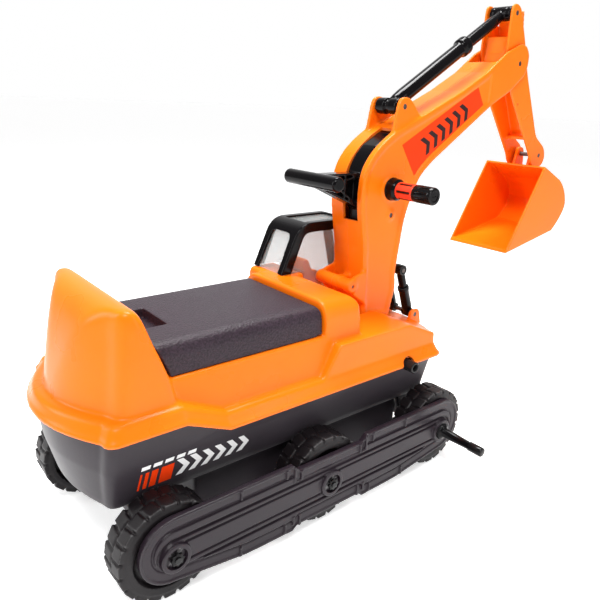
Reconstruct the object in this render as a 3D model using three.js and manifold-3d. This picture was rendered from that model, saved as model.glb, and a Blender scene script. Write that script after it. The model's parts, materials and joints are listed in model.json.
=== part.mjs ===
// Ride-on toy excavator: a tub on six wheels with dummy track covers, a storage seat, a small cab and a
// hand-worked arm with stick and bucket. Millimetres, +X towards the bucket, +Y to the rider's left, +Z up.
// The origin is on the floor under the middle of the overall box.
import * as THREE from "three";
import { mergeVertices } from "three/addons/utils/BufferGeometryUtils.js";
import Module from "manifold-3d";

const wasm = await Module();
wasm.setup();

// ---------------------------------------------------------------- driving dimensions
const WHEEL_R = 66; // over the tread
const WHEEL_SIDES = 24; // the tread is a 24-gon, so a wheel parks on a flat
const AXLE_Z = WHEEL_R * Math.cos(Math.PI / WHEEL_SIDES);
const AXLE_X = [-427, -185, 57]; // rear, middle, front
const AXLE_R = 5;
const WHEEL_IN = 106; // inner face of a tyre, from the centre plane
const WHEEL_OUT = 148;
const COVER_IN = 152.5;
const COVER_OUT = 161;
const PEG_TIP = 241;

const REAR = -525; // rearmost point of the skirt
const NOSE = 132; // foremost point of the skirt
const HULL_FLOOR = 112;
const BELLY_X = [-362, 20];
const BELLY_Z = 46;
const SKIRT_HW = 128; // half width over the skirt
const SKIRT_Z = 186; // lower edge of the skirt along the front three quarters
const STEP = 26; // the skirt rises by this much at the rear
const STEP_X = [-391, -332]; // and does so between these two stations
const WALL = 3.2;

const SEAT_Z = 302;
const SEAT_X = [-405, -160];
const SEAT_HW = 95;
const RIM_Z = 260; // rim of the storage bin, which the lid rests on
const COWL_Z = 308;
const DECK_Z = 249;
const CAB_Y = [41, 118];
const CAB_Z = 388;
const SLOT = { x: [-33, 62], y: 38, floor: 200 }; // well in the deck that the boom's foot stands in
const STUB = [-2, 186]; // x, z of the tube across the hull
const POSTS = [
  // screw posts: station, foot and head heights
  [-378, HULL_FLOOR + 1, RIM_Z - 52.3],
  [-230, BELLY_Z + 2, RIM_Z - 52.3],
  [84, HULL_FLOOR + 1, 184],
];

const BOOM_HW = 35;
const BOOM_PIVOT = [12, 216]; // x, z of the cross pin the boom stands on
const LEVER_PIVOT = [29, 404];
const GRIP = [25, 446];
const T_BAR = [-109, 462];
const STICK_PIVOT = [331, 649];
const STICK_TOP = [311, 729]; // eye of the stick ram
const LUG = [42, 569]; // foot of the stick ram
const BUCKET_PIVOT = [457, 487];
const LIFT_TOP = [82, 303];
const LIFT_FOOT = [114, 220];
const LID_HINGE = [-169, 292];

const TIP_X = 268; // beyond this the boom is a fork of two cheeks

const GAP = 0.3;
const SPLIT = GAP / 2; // the boom's halves stop this far short of the centre plane
const LOOSE_R = 5.5; // bore of the lift rams' head eyes, loose on a pin of radius 4

// ---------------------------------------------------------------- materials
const paint = (color, roughness, metalness = 0) =>
  new THREE.MeshStandardMaterial({ color, roughness, metalness });
const ORANGE = paint(0xff7a12, 0.38);
const CHARCOAL = paint(0x3a3438, 0.55);
const GRAINED = paint(0x453f47, 0.75);
const BLACK = paint(0x131314, 0.3);
const TYRE = paint(0x1d1b1d, 0.7);
const RED = paint(0xff4a1c, 0.35);
const STEEL = paint(0xb8babd, 0.35, 1);
const CLEAR = new THREE.MeshStandardMaterial({
  color: 0xe8eef0,
  roughness: 0.08,
  transparent: true,
  opacity: 0.35,
});

// ---------------------------------------------------------------- solid helpers
function solid(geometry) {
  const g = geometry.clone();
  g.deleteAttribute("normal");
  g.deleteAttribute("uv");
  const m = mergeVertices(g, 1e-4);
  const index = m.index.array;
  return new wasm.Manifold(
    new wasm.Mesh({
      numProp: 3,
      vertProperties: Float32Array.from(m.attributes.position.array),
      triVerts: Uint32Array.from(index),
    })
  );
}

const union = (...parts) => parts.flat().reduce((a, b) => a.add(b));
const cut = (body, ...tools) => tools.flat().reduce((a, b) => a.subtract(b), body);

function box(x0, x1, y0, y1, z0, z1) {
  const g = new THREE.BoxGeometry(x1 - x0, y1 - y0, z1 - z0);
  g.translate((x0 + x1) / 2, (y0 + y1) / 2, (z0 + z1) / 2);
  return solid(g);
}

// a cylinder across the machine (along Y) at x, z
function acrossY(x, z, r, y0, y1, sides = 24) {
  const g = new THREE.CylinderGeometry(r, r, y1 - y0, sides);
  g.rotateY(Math.PI / sides);
  g.translate(x, (y0 + y1) / 2, z);
  return solid(g);
}

// a cylinder between two points of the centre plane, or beside it at offset y
function rodXZ([x0, z0], [x1, z1], r, y = 0, sides = 20) {
  const g = new THREE.CylinderGeometry(r, r, Math.hypot(x1 - x0, z1 - z0), sides);
  g.rotateX(Math.PI / 2);
  g.rotateY(Math.atan2(x1 - x0, z1 - z0));
  g.translate((x0 + x1) / 2, y, (z0 + z1) / 2);
  return solid(g);
}

// extrudes an outline drawn in x, z between two stations of y
function slabXZ(shape, y0, y1, curve = 8) {
  const g = new THREE.ExtrudeGeometry(shape, { depth: y1 - y0, bevelEnabled: false, curveSegments: curve });
  g.rotateX(Math.PI / 2);
  g.translate(0, y1, 0);
  return solid(g);
}

// extrudes an outline drawn in x, y between two heights
function slabXY(shape, z0, z1, curve = 8) {
  const g = new THREE.ExtrudeGeometry(shape, { depth: z1 - z0, bevelEnabled: false, curveSegments: curve });
  g.translate(0, 0, z0);
  return solid(g);
}

// extrudes an outline drawn in y, z between two stations of x
function slabYZ(shape, x0, x1, curve = 6) {
  const g = new THREE.ExtrudeGeometry(shape, { depth: x1 - x0, bevelEnabled: false, curveSegments: curve });
  g.rotateX(Math.PI / 2);
  g.rotateZ(Math.PI / 2);
  g.translate(x0, 0, 0);
  return solid(g);
}

function outline(points) {
  const s = new THREE.Shape();
  points.forEach(([a, b], i) => (i ? s.lineTo(a, b) : s.moveTo(a, b)));
  s.closePath();
  return s;
}

// a closed outline whose corners are rounded; each corner is [x, z, radius]
function rounded(corners) {
  const s = new THREE.Shape();
  const n = corners.length;
  corners.forEach(([x, z, r = 0], i) => {
    const before = corners[(i + n - 1) % n];
    const after = corners[(i + 1) % n];
    const toward = (p) => {
      const d = Math.hypot(p[0] - x, p[1] - z);
      const k = Math.min(r / d, 0.5);
      return [x + (p[0] - x) * k, z + (p[1] - z) * k];
    };
    const a = toward(before);
    const b = toward(after);
    if (i) s.lineTo(...a);
    else s.moveTo(...a);
    if (r) s.quadraticCurveTo(x, z, ...b);
  });
  s.closePath();
  return s;
}

// builds a solid from a geometry whose winding may run either way
function facingOut(g) {
  const body = solid(g);
  if (body.volume() > 0) return body;
  const a = g.index.array;
  for (let i = 0; i < a.length; i += 3) {
    [a[i], a[i + 1]] = [a[i + 1], a[i]];
  }
  return solid(g);
}

// a solid of revolution about Y through x, z; the profile is [radius, y] pairs
function turned(x, z, profile, sides = 24, phase = 0) {
  const points = profile.map(([r, y]) => new THREE.Vector2(r, y));
  points.push(points[0].clone());
  const g = new THREE.LatheGeometry(points, sides);
  g.rotateY(phase);
  g.translate(x, 0, z);
  return facingOut(g);
}

const flipY = (body) => body.mirror([0, 1, 0]);

const nodes = [];
function add(name, body, material) {
  const mesh = body.getMesh();
  const g = new THREE.BufferGeometry();
  g.setAttribute("position", new THREE.BufferAttribute(Float32Array.from(mesh.vertProperties), 3));
  g.setIndex(new THREE.BufferAttribute(Uint32Array.from(mesh.triVerts), 1));
  g.computeVertexNormals();
  const node = new THREE.Mesh(g, material);
  node.name = name;
  nodes.push(node);
}

// ---------------------------------------------------------------- plan outlines and lofts
// One closed ring round the body at a height: a straight-sided plan with a bowed rear and a bowed nose.
// hw is the half width, bow the depth of the bow from the middle to the corner, r the corner radius.
function ring({ z, rear, nose, hw, bowRear, bowNose, r, rise = 0 }) {
  const half = [];
  const arc = 4;
  for (let i = 0; i <= arc; i += 1) {
    const y = (hw - r) * (i / arc);
    half.push([nose - bowNose * (y / (hw - r)) ** 2, y]);
  }
  const corner = (x, dir) => {
    const steps = 3;
    const out = [];
    for (let i = 1; i <= steps; i += 1) {
      const t = i / steps;
      out.push([x - dir * r * t * t * 0.9, hw - r * (1 - t) * (1 - t)]);
    }
    return out;
  };
  half.push(...corner(nose - bowNose, 1));
  half.push([STEP_X[1], hw], [STEP_X[0], hw]);
  half.push(...corner(rear + bowRear, -1).reverse());
  for (let i = arc; i >= 0; i -= 1) {
    const y = (hw - r) * (i / arc);
    half.push([rear + bowRear * (y / (hw - r)) ** 2, y]);
  }
  const climb = (x) => rise * THREE.MathUtils.clamp((STEP_X[1] - x) / (STEP_X[1] - STEP_X[0]), 0, 1);
  const left = half.map(([x, y]) => [x, y, z + climb(x)]);
  const right = left
    .slice(1, -1)
    .reverse()
    .map(([x, y, h]) => [x, -y, h]);
  return [...left, ...right];
}

// joins rings of equal length, bottom to top, and closes the ends strip by strip across the body
function loft(rings) {
  const n = rings[0].length;
  const position = rings.flat(2);
  const index = [];
  for (let k = 0; k + 1 < rings.length; k += 1) {
    for (let i = 0; i < n; i += 1) {
      const a = k * n + i;
      const b = k * n + ((i + 1) % n);
      index.push(a, b, b + n, a, b + n, a + n);
    }
  }
  const cap = (base, up) => {
    const m = n / 2;
    const mate = (i) => base + ((n - i) % n);
    for (let i = 0; i < m; i += 1) {
      const tri = [
        [base + i, base + i + 1, mate(i + 1)],
        [base + i, mate(i + 1), mate(i)],
      ];
      tri.forEach(([p, q, s]) => {
        if (p !== q && q !== s && s !== p) index.push(...(up ? [p, q, s] : [p, s, q]));
      });
    }
  };
  cap(0, false);
  cap((rings.length - 1) * n, true);
  const g = new THREE.BufferGeometry();
  g.setAttribute("position", new THREE.Float32BufferAttribute(position, 3));
  g.setIndex(index);
  return facingOut(g);
}

// ---------------------------------------------------------------- hull: the lower tub
function hullBlock(inset, floor, top) {
  const at = (z, rear, nose, hw, bowRear, bowNose, rise = 0) =>
    ring({ z, rear: rear + inset, nose: nose - inset, hw: hw - inset, bowRear, bowNose, r: 16, rise });
  return loft([
    at(floor, -498, 98, 101, 17, 26),
    at(168, -511, 112, 112, 26, 38),
    at(top, -517, 122, 119.5, 34, 46, STEP),
  ]);
}

function hull() {
  const rim = SKIRT_Z + 5.5;
  const [x0, x1] = BELLY_X;
  let body = hullBlock(0, HULL_FLOOR, rim);
  // the belly sits between the wheels and carries the middle axle
  body = body.add(box(x0, x1, -88, 88, BELLY_Z, HULL_FLOOR + 1));
  let hollow = hullBlock(WALL, HULL_FLOOR + WALL, rim + 1);
  hollow = hollow.add(box(x0 + WALL, x1 - WALL, -84, 84, BELLY_Z + WALL, HULL_FLOOR + 6));
  body = body.subtract(hollow);
  // axle tunnels: across the belly in the middle, in hanging brackets behind, on the belly's nose in front
  AXLE_X.forEach((x, i) => {
    body = body.add(acrossY(x, AXLE_Z, 11, -103, 103, 16));
    if (i !== 1) {
      [-76, 68].forEach((y) => {
        const web = outline([
          [x - 11, AXLE_Z],
          [x + 11, AXLE_Z],
          [x + 24, HULL_FLOOR + 3],
          [x - 24, HULL_FLOOR + 3],
        ]);
        body = body.add(slabXZ(web, y, y + 8));
      });
    }
  });
  body = cut(body, AXLE_X.map((x) => acrossY(x, AXLE_Z, AXLE_R + GAP, -104, 104, 16)));
  // screw posts that carry the upper shell
  POSTS.forEach(([x, foot, head]) => {
    [-60, 60].forEach((y) => {
      body = body.add(post(x, y, foot, head));
    });
  });
  // sockets for the cross tube through the nose
  body = cut(body, acrossY(...STUB, 9 + GAP, -130, 130, 16));
  return body;
}

function post(x, y, z0, z1) {
  const g = new THREE.CylinderGeometry(8, 8, z1 - z0, 12);
  g.rotateX(Math.PI / 2);
  g.translate(x, y, (z0 + z1) / 2);
  return solid(g);
}

// ---------------------------------------------------------------- running gear
function wheel(side) {
  const w = WHEEL_OUT - WHEEL_IN;
  const mid = side * (WHEEL_IN + w / 2);
  const o = w / 2;
  const profile = [
    [AXLE_R + GAP, -o],
    [13, -o],
    [13, o - 14],
    [53, o - 14],
    [53, -o],
    [59, -o],
    [WHEEL_R, -o + 7],
    [WHEEL_R, o - 7],
    [58, o],
    [48, o],
    [45, o - 9],
    [15, o - 9],
    [15, o],
    [AXLE_R + GAP, o],
  ];
  let body = turned(0, 0, profile, WHEEL_SIDES, Math.PI / WHEEL_SIDES);
  // tread: a groove across every second flat
  for (let i = 0; i < WHEEL_SIDES / 2; i += 1) {
    const groove = box(-4.5, 4.5, -o - 1, o + 1, WHEEL_R - 5.5, WHEEL_R + 5);
    body = body.subtract(groove.rotate([0, (360 / WHEEL_SIDES) * (2 * i + 1), 0]));
  }
  if (side < 0) body = flipY(body);
  return body.translate([0, mid, 0]);
}

function coverOutline(inset) {
  const r = 44 - inset;
  const [rear, mid, front] = AXLE_X;
  const cz = AXLE_Z + 9;
  const top = cz + r;
  const s = new THREE.Shape();
  s.moveTo(rear, top);
  s.lineTo(mid - 68, top);
  s.lineTo(mid - 58, top - 10);
  s.lineTo(mid + 58, top - 10);
  s.lineTo(mid + 68, top);
  s.lineTo(front, top);
  s.absarc(front, cz, r, Math.PI / 2, -Math.PI / 2 + 0.15, true);
  s.lineTo(mid + 140, 16 + inset);
  s.lineTo(mid + 66, 14.5 + inset);
  s.lineTo(mid + 58, 21 + inset);
  s.lineTo(mid - 58, 21 + inset);
  s.lineTo(mid - 66, 14.5 + inset);
  s.lineTo(mid - 140, 16 + inset);
  s.lineTo(rear + r * Math.sin(0.15) * 0.2, cz - r);
  s.absarc(rear, cz, r, -Math.PI / 2, -Math.PI * 1.5, true);
  return s;
}

function trackCover() {
  // built for the left side; the right one is its mirror image
  let body = slabXZ(coverOutline(0), COVER_IN, COVER_OUT, 9);
  const band = (a, b) => slabXZ(coverOutline(a), COVER_OUT - 2, COVER_OUT + 1, 5).subtract(
    slabXZ(coverOutline(b), COVER_OUT - 3, COVER_OUT + 2, 5));
  // grooves between the outer band, the middle band and the centre panel
  body = cut(body, band(15, 18), band(22, 25));
  body = body.subtract(slabXZ(coverOutline(5), COVER_IN - 1, COVER_OUT - WALL, 5));
  // hub bosses with a recess for the cap
  AXLE_X.forEach((x) => {
    body = body.add(acrossY(x, AXLE_Z, 19.5, WHEEL_OUT + 1.5, COVER_OUT + 4.5, 20));
    body = body.subtract(acrossY(x, AXLE_Z, 14, COVER_OUT - 0.5, COVER_OUT + 6, 16));
    body = body.subtract(acrossY(x, AXLE_Z, AXLE_R + GAP, WHEEL_OUT, COVER_OUT + 6, 16));
  });
  // short cross ribs on the outer band, like track links
  [-336, -265, -105, -34].forEach((x) => {
    body = body.add(box(x - 1.5, x + 1.5, COVER_OUT - 1, COVER_OUT + 2, 103.5, 116));
    body = body.add(box(x - 1.5, x + 1.5, COVER_OUT - 1, COVER_OUT + 2, 18.5, 31));
  });
  return body;
}

function hubCap() {
  return turned(0, 0, [
    [0, 166.5],
    [6, 166.5],
    [9, 165],
    [9, COVER_OUT - 0.2],
    [AXLE_R + 0.15, COVER_OUT - 0.2],
    [AXLE_R + 0.15, 164.3],
    [0, 164.3],
  ], 16);
}

function footPeg() {
  return turned(0, 0, [
    [0, PEG_TIP],
    [6.5, PEG_TIP],
    [7.5, PEG_TIP - 1],
    [7.5, PEG_TIP - 24],
    [6.5, PEG_TIP - 25],
    [8, 168],
    [12.6, 167],
    [12.6, COVER_OUT - 0.2],
    [AXLE_R + 0.15, COVER_OUT - 0.2],
    [AXLE_R + 0.15, 171],
    [0, 171],
  ], 16);
}

// ---------------------------------------------------------------- upper shell
const deckSide = rounded([
  [-176, 200],
  [-143, DECK_Z, 5],
  [6, DECK_Z, 8],
  [62, 224, 10],
  [100, 212, 10],
  [142, 206],
  [142, 190],
  [-176, 190],
]);

function backrest(inset) {
  const side = rounded([
    [-384 - inset, 222],
    [-399 - inset, 262, 8],
    [-423 - inset, 324, 12],
    [-435 - inset * 0.6, 360 - inset, 16],
    [-468 + inset * 0.5, 352 - inset, 22],
    [-489 + inset, 306, 26],
    [-511 + inset, 222],
  ]);
  const plan = (z, rear, hw, bow) =>
    ring({ z, rear: rear + inset, nose: -330, hw: hw - inset, bowRear: bow, bowNose: 0, r: 20 });
  const walls = loft([plan(222, -508, 110, 36), plan(300, -494, 109, 31), plan(362, -480, 104, 23)]);
  const crown = rounded([
    [-134, 200],
    [-117 + inset, 361 - inset, 36],
    [117 - inset, 361 - inset, 36],
    [134, 200],
  ]);
  return slabXZ(side, -116, 116, 4).intersect(walls).intersect(slabYZ(crown, -540, -330, 6));
}

function skirt(inset, z0, z1) {
  const at = (z, d) =>
    ring({
      z,
      rear: REAR + d + inset,
      nose: NOSE - d - inset,
      hw: SKIRT_HW - d - inset,
      bowRear: 37,
      bowNose: 50,
      r: 18,
      rise: STEP,
    });
  return loft([at(z0, 0), at(SKIRT_Z + 5, 0), at(SKIRT_Z + 6.5, 3), at(SKIRT_Z + 19, 8), at(z1, 13)]);
}

function seatBox(inset) {
  const s = rounded([
    [-108 + inset, 196],
    [-99 + inset, RIM_Z - inset, 3],
    [99 - inset, RIM_Z - inset, 3],
    [108 - inset, 196],
  ]);
  return slabYZ(s, -394 + inset, -150 - inset, 3);
}

function cowl(inset) {
  const s = rounded([
    [-103 + inset, 200],
    [-98 + inset, COWL_Z - inset, 26],
    [98 - inset, COWL_Z - inset, 26],
    [103 - inset, 200],
  ]);
  const side = rounded([
    [-157 + inset, 200],
    [-157 + inset, COWL_Z - inset, 3],
    [-92 - inset, COWL_Z - inset, 18],
    [-86 - inset, 200],
  ]);
  return slabYZ(s, -160, -80, 6).intersect(slabXZ(side, -110, 110, 6));
}

function deck(inset) {
  const plan = loft([180, 320].map((z) =>
    ring({ z, rear: -300, nose: NOSE - 13 - inset, hw: 119 - (z - 180) * 0.03 - inset,
      bowRear: 0, bowNose: 46, r: 14 })));
  return slabXZ(deckSide, -125, 125, 5).translate([0, 0, -inset]).intersect(plan);
}

function cabPlinth(inset) {
  const s = rounded([
    [-143, 200],
    [-136, COWL_Z - 0.5 - inset, 6],
    [-86 - inset, COWL_Z - 0.5 - inset, 2],
    [-84 - inset, 272 - inset],
    [58 - inset, 272 - inset, 6],
    [74 - inset, 200],
  ]);
  return slabXZ(s, 38 + inset, 119 - inset, 4);
}

function shell() {
  let body = union(
    skirt(0, SKIRT_Z, SKIRT_Z + 22),
    seatBox(0),
    cowl(0),
    deck(0),
    cabPlinth(0),
    backrest(0)
  );
  const hollow = union(
    skirt(WALL, SKIRT_Z - 2, SKIRT_Z + 22 - WALL),
    seatBox(WALL),
    cowl(WALL),
    deck(WALL),
    cabPlinth(WALL),
    backrest(WALL)
  );
  body = body.subtract(hollow);
  // nothing of the upper blocks hangs below the edge of the skirt
  const under = outline([
    [-540, 100],
    [150, 100],
    [150, SKIRT_Z],
    [STEP_X[1], SKIRT_Z],
    [STEP_X[0], SKIRT_Z + STEP],
    [-540, SKIRT_Z + STEP],
  ]);
  body = body.subtract(slabXZ(under, -140, 140));
  // storage bin under the seat
  const floor = RIM_Z - 52;
  const cavity = box(-385, -169, -83, 83, floor + 3, RIM_Z + 1);
  const bin = box(-388, -166, -86, 86, floor, RIM_Z).subtract(cavity);
  body = body.subtract(box(-386, -168, -84, 84, floor + 4, RIM_Z + 40)).add(bin);
  [-60, 60].forEach((y) => {
    body = body.add(post(84, y, 184 + GAP, 212));
  });
  // pocket that the foot of the boom stands in, with bosses for its cross pin
  const [x0, x1] = SLOT.x;
  body = body.add(box(x0 - 3, x1 + 3, -SLOT.y - 6, SLOT.y + 6, SLOT.floor - 3, 240));
  body = body.subtract(box(x0, x1, -SLOT.y, SLOT.y, SLOT.floor, 300));
  body = body.add(acrossY(...BOOM_PIVOT, 13, -SLOT.y - 16, -SLOT.y, 16));
  body = body.add(acrossY(...BOOM_PIVOT, 13, SLOT.y, SLOT.y + 16, 16));
  body = body.subtract(acrossY(...BOOM_PIVOT, 5 + GAP, -60, 60, 16));
  // lid hinge ears on the back of the cowl
  [-64, 58].forEach((y) => {
    const ear = outline([
      [-156, 240],
      [-156, 277],
      [-162, 284.5],
      [-164, 288],
      [-164, 294],
      [-166, 296.6],
      [-172, 295.5],
      [-174, 292],
      [-172, 286],
      [-163, 262],
      [-160, 240],
    ]);
    body = body.add(slabXZ(ear, y, y + 6));
  });
  body = body.subtract(acrossY(...LID_HINGE, 2 + GAP, -70, 70, 12));
  // ears on the nose for the feet of the lift rams
  [-36, 31].forEach((y) => {
    const ear = rounded([
      [96, 200],
      [104, 229, 6],
      [124, 229, 6],
      [130, 200],
    ]);
    body = body.add(slabXZ(ear, y, y + 5, 3));
  });
  body = body.subtract(acrossY(...LIFT_FOOT, 4 + GAP, -40, 40, 12));
  // arches in the skirt over the ends of the cross tube
  const arches = [acrossY(...STUB, 13.5, -135, -117, 16), acrossY(...STUB, 13.5, 117, 135, 16)];
  body = cut(body, arches, acrossY(...STUB, 10, -135, 135, 16));
  return body;
}

// ---------------------------------------------------------------- seat lid
function lid() {
  const across = (d) => rounded([
    [-SEAT_HW + d, RIM_Z + GAP],
    [-SEAT_HW + 3 + d, SEAT_Z - d, 21],
    [SEAT_HW - 3 - d, SEAT_Z - d, 21],
    [SEAT_HW - d, RIM_Z + GAP],
  ]);
  const along = rounded([
    [-389.5, RIM_Z - 10],
    [SEAT_X[1], RIM_Z - 10],
    [SEAT_X[1], SEAT_Z, 9],
    [-411, SEAT_Z, 4],
  ]);
  let body = slabYZ(across(0), -420, -150, 5).intersect(slabXZ(along, -100, 100, 4));
  const inside = outline([
    [-387, RIM_Z - 11],
    [SEAT_X[1] - WALL, RIM_Z - 11],
    [SEAT_X[1] - WALL, SEAT_Z - WALL],
    [-404, SEAT_Z - WALL],
  ]);
  body = body.subtract(slabYZ(across(WALL), -420, -150, 5).intersect(slabXZ(inside, -100, 100)));
  body = body.subtract(slabYZ(across(WALL), -420, -150, 5)
    .intersect(box(-386, SEAT_X[1] - WALL, -95, 95, RIM_Z - 5, RIM_Z + 8)));
  // finger slot at the rear edge
  body = body.subtract(box(-420, -366, -34, 34, SEAT_Z - 14, SEAT_Z + 5));
  // hinge: slots for the ears of the shell, ribs that carry the rod
  [-65, 57].forEach((y) => {
    body = body.subtract(box(-167, -158, y, y + 8, 240, SEAT_Z - WALL));
  });
  // the front edge is cut short so that it clears the rim as the lid swings up
  body = body.subtract(box(-170, -155, -100, 100, 250, RIM_Z + 2.5));
  [-74, 68].forEach((y) => {
    body = body.add(box(-179, SEAT_X[1] - 3, y, y + 6, 284, SEAT_Z - 2));
  });
  return body.subtract(acrossY(...LID_HINGE, 2 + GAP, -80, 80, 12));
}

// ---------------------------------------------------------------- cab
function cabOutline(d) {
  return rounded([
    [-130 + d, COWL_Z + GAP - (d ? 1 : 0)],
    [-95 + d, CAB_Z - d, 24],
    [25 - d, CAB_Z - d, 14],
    [54 - d, 272 + GAP - (d ? 1 : 0)],
    [-83 + d, 272 + GAP - (d ? 1 : 0)],
    [-83 + d, COWL_Z + GAP - (d ? 1 : 0)],
  ]);
}

function cabFrame() {
  let body = slabXZ(cabOutline(0), ...CAB_Y, 5);
  body = body.subtract(slabXZ(cabOutline(WALL), CAB_Y[0] + WALL, CAB_Y[1] - WALL, 5));
  const side = rounded([
    [-113, 300],
    [-84, 372, 10],
    [15, 372, 8],
    [43, 268],
    [-86, 268],
    [-86, 300],
  ]);
  body = body.subtract(slabXZ(side, 30, 130, 3));
  const across = rounded([
    [53, 300],
    [56, 370, 8],
    [103, 370, 8],
    [106, 300],
  ]);
  body = body.subtract(slabYZ(across, -140, -60, 3).intersect(box(-140, -88, 0, 140, 300, 376)));
  const screen = rounded([
    [54, 290, 5],
    [54, 370, 8],
    [105, 370, 8],
    [105, 290, 5],
  ]);
  body = body.subtract(slabYZ(screen, 16, 70, 3));
  return body.subtract(box(-76, 8, 55, 104, CAB_Z - 8, CAB_Z + 7));
}

function cabGlazing() {
  const d = WALL + GAP;
  const outer = slabXZ(cabOutline(d), CAB_Y[0] + d, CAB_Y[1] - d, 4);
  const inner = slabXZ(cabOutline(d + 1.6), CAB_Y[0] + d + 1.6, CAB_Y[1] - d - 1.6, 4);
  const floor = box(-140, 60, 30, 130, 262, 272 + GAP).add(box(-140, -84, 30, 130, 262, COWL_Z + GAP));
  return outer.subtract(inner).subtract(box(-78, 49, 47, 111, 260, 280)).subtract(floor)
    .subtract(box(-122, -84 + 4, 47, 111, 300, 316));
}

function cabSeat() {
  const s = rounded([
    [-70, 272 + GAP],
    [-70, 322, 4],
    [-59, 322, 4],
    [-50, 301, 2],
    [-39, 301, 3],
    [-25, 279, 2],
    [-25, 272 + GAP],
  ]);
  return slabXZ(s, 60, 100, 3);
}

// ---------------------------------------------------------------- boom
function boomOutline() {
  const s = new THREE.Shape();
  s.moveTo(-14, 205);
  s.lineTo(-20, 240);
  s.lineTo(-28, 356);
  s.bezierCurveTo(-34, 392, -44, 425, -39, 462);
  s.bezierCurveTo(-34, 492, -8, 515, 30, 535);
  s.lineTo(84, 557);
  s.lineTo(176, 597);
  s.lineTo(240, 630);
  s.lineTo(290, 665);
  s.lineTo(326, 680);
  s.quadraticCurveTo(348, 686, 358, 664);
  s.quadraticCurveTo(362, 645, 350, 628);
  s.lineTo(314, 602);
  s.lineTo(265, 578);
  s.lineTo(128, 492);
  s.quadraticCurveTo(100, 474, 88, 458);
  s.quadraticCurveTo(66, 420, 60, 382);
  s.lineTo(52, 308);
  s.lineTo(55, 278);
  s.lineTo(44, 230);
  s.lineTo(36, 205);
  s.closePath();
  return s.getPoints(4).map((p) => [p.x, p.y]);
}

// the same outline, moved in by d on every side
function insetBy(points, d) {
  const ring = points.filter(([x, z], i) => {
    const [px, pz] = points[(i + points.length - 1) % points.length];
    return Math.hypot(x - px, z - pz) > 0.01;
  });
  const n = ring.length;
  return ring.map(([x, z], i) => {
    const [ax, az] = ring[(i + n - 1) % n];
    const [bx, bz] = ring[(i + 1) % n];
    const u = new THREE.Vector2(x - ax, z - az).normalize();
    const v = new THREE.Vector2(bx - x, bz - z).normalize();
    const nu = new THREE.Vector2(u.y, -u.x);
    const nv = new THREE.Vector2(v.y, -v.x);
    const m = nu.clone().add(nv).normalize();
    const k = d / Math.max(0.5, m.dot(nu));
    return [x + m.x * k, z + m.y * k];
  });
}

function boomHalf(side) {
  // drawn for y > 0 and mirrored for the right half
  const line = boomOutline();
  let body = slabXZ(outline(line), SPLIT, BOOM_HW);
  body = body.subtract(slabXZ(outline(insetBy(line, WALL)), -1, BOOM_HW - WALL));
  // inner bosses for the pins and screws
  const boss = (x, z, r, y0 = SPLIT) => acrossY(x, z, r, y0, BOOM_HW - 2, 12);
  body = body.add(boss(...BOOM_PIVOT, 11, 12));
  body = body.add(boss(...LEVER_PIVOT, 8, side < 0 ? 27 : 9));
  body = body.add(boss(178, 562, 6));
  // gussets and the half of the cross barrel at the back of the foot
  const gusset = rounded([
    [-50, 311, 8],
    [-23, 319],
    [-19, 262],
    [-50, 287, 8],
  ]);
  body = body.add(slabXZ(gusset, 30, 36, 2).subtract(slabXZ(outline(insetBy(line, 1)), 0, BOOM_HW)));
  body = body.add(acrossY(-50, 299, 10.5, SPLIT, 40, 16));
  body = body.add(slabXZ(outline([[-46, 292], [-22, 292], [-24, 306], [-46, 306]]), SPLIT, 6));
  // lug for the foot of the stick ram
  const lug = rounded([
    [22, 526],
    [31, 582, 12],
    [53, 584, 12],
    [82, 553],
  ]);
  body = body.add(slabXZ(lug, 24.5, 31, 3));
  // ear for the heads of the lift rams
  const ear = rounded([
    [51, 286],
    [51, 326],
    [86, 312, 8],
    [92, 296, 8],
  ]);
  body = body.add(slabXZ(ear, SPLIT, 7, 3));
  // a shallow panel on the flank inside a raised border
  const flank = line.filter(([x, z]) => x < TIP_X && z > 228);
  body = body.subtract(slabXZ(outline(insetBy(flank, 10)), BOOM_HW - 1.4, BOOM_HW + 1));
  if (side < 0) body = body.add(acrossY(...GRIP, 19, BOOM_HW - 3, BOOM_HW, 16));
  body = body.add(acrossY(...LEVER_PIVOT, 9, BOOM_HW - 3, BOOM_HW + 1, 16));
  // fork
  body = body.subtract(box(TIP_X, 380, -1, 29.7, 560, 700));
  // bores
  const bore = (x, z, r, y0, y1) => acrossY(x, z, r, y0, y1, 16);
  body = cut(
    body,
    bore(...BOOM_PIVOT, 5 + GAP, -1, 40),
    bore(...LEVER_PIVOT, 4 + GAP, -1, side < 0 ? 40 : 33),
    bore(...STICK_PIVOT, 4 + GAP, -1, 40),
    bore(...LUG, 4 + GAP, 20, 40),
    bore(...LIFT_TOP, 4 + GAP, -1, 10),
    bore(-50, 299, 2.5 + GAP, -1, side < 0 ? 44 : 36),
    bore(178, 562, 2.5 + GAP, -1, side < 0 ? 40 : 30)
  );
  if (side < 0) body = body.subtract(bore(...GRIP, 6 + GAP, 10, 40));
  // slot for the control lever in the back of the knee; it lies mostly in the right half
  const slot = outline([
    [-60, 398],
    [-28, 398],
    [-31, 455],
    [-23, 480],
    [-4, 503],
    [20, 519],
    [36, 529],
    [26, 552],
    [-60, 552],
  ]);
  body = body.subtract(slabXZ(slot, -1, side < 0 ? 25 : 7));
  return side < 0 ? flipY(body) : body;
}

// a straight strip between two points of the x, z plane
function strip([ax, az], [bx, bz], t, y0, y1) {
  const d = new THREE.Vector2(bx - ax, bz - az).normalize();
  const [nx, nz] = [(-d.y * t) / 2, (d.x * t) / 2];
  return slabXZ(outline([
    [ax + nx, az + nz],
    [ax - nx, az - nz],
    [bx - nx, bz - nz],
    [bx + nx, bz + nz],
  ]), y0, y1);
}

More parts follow.
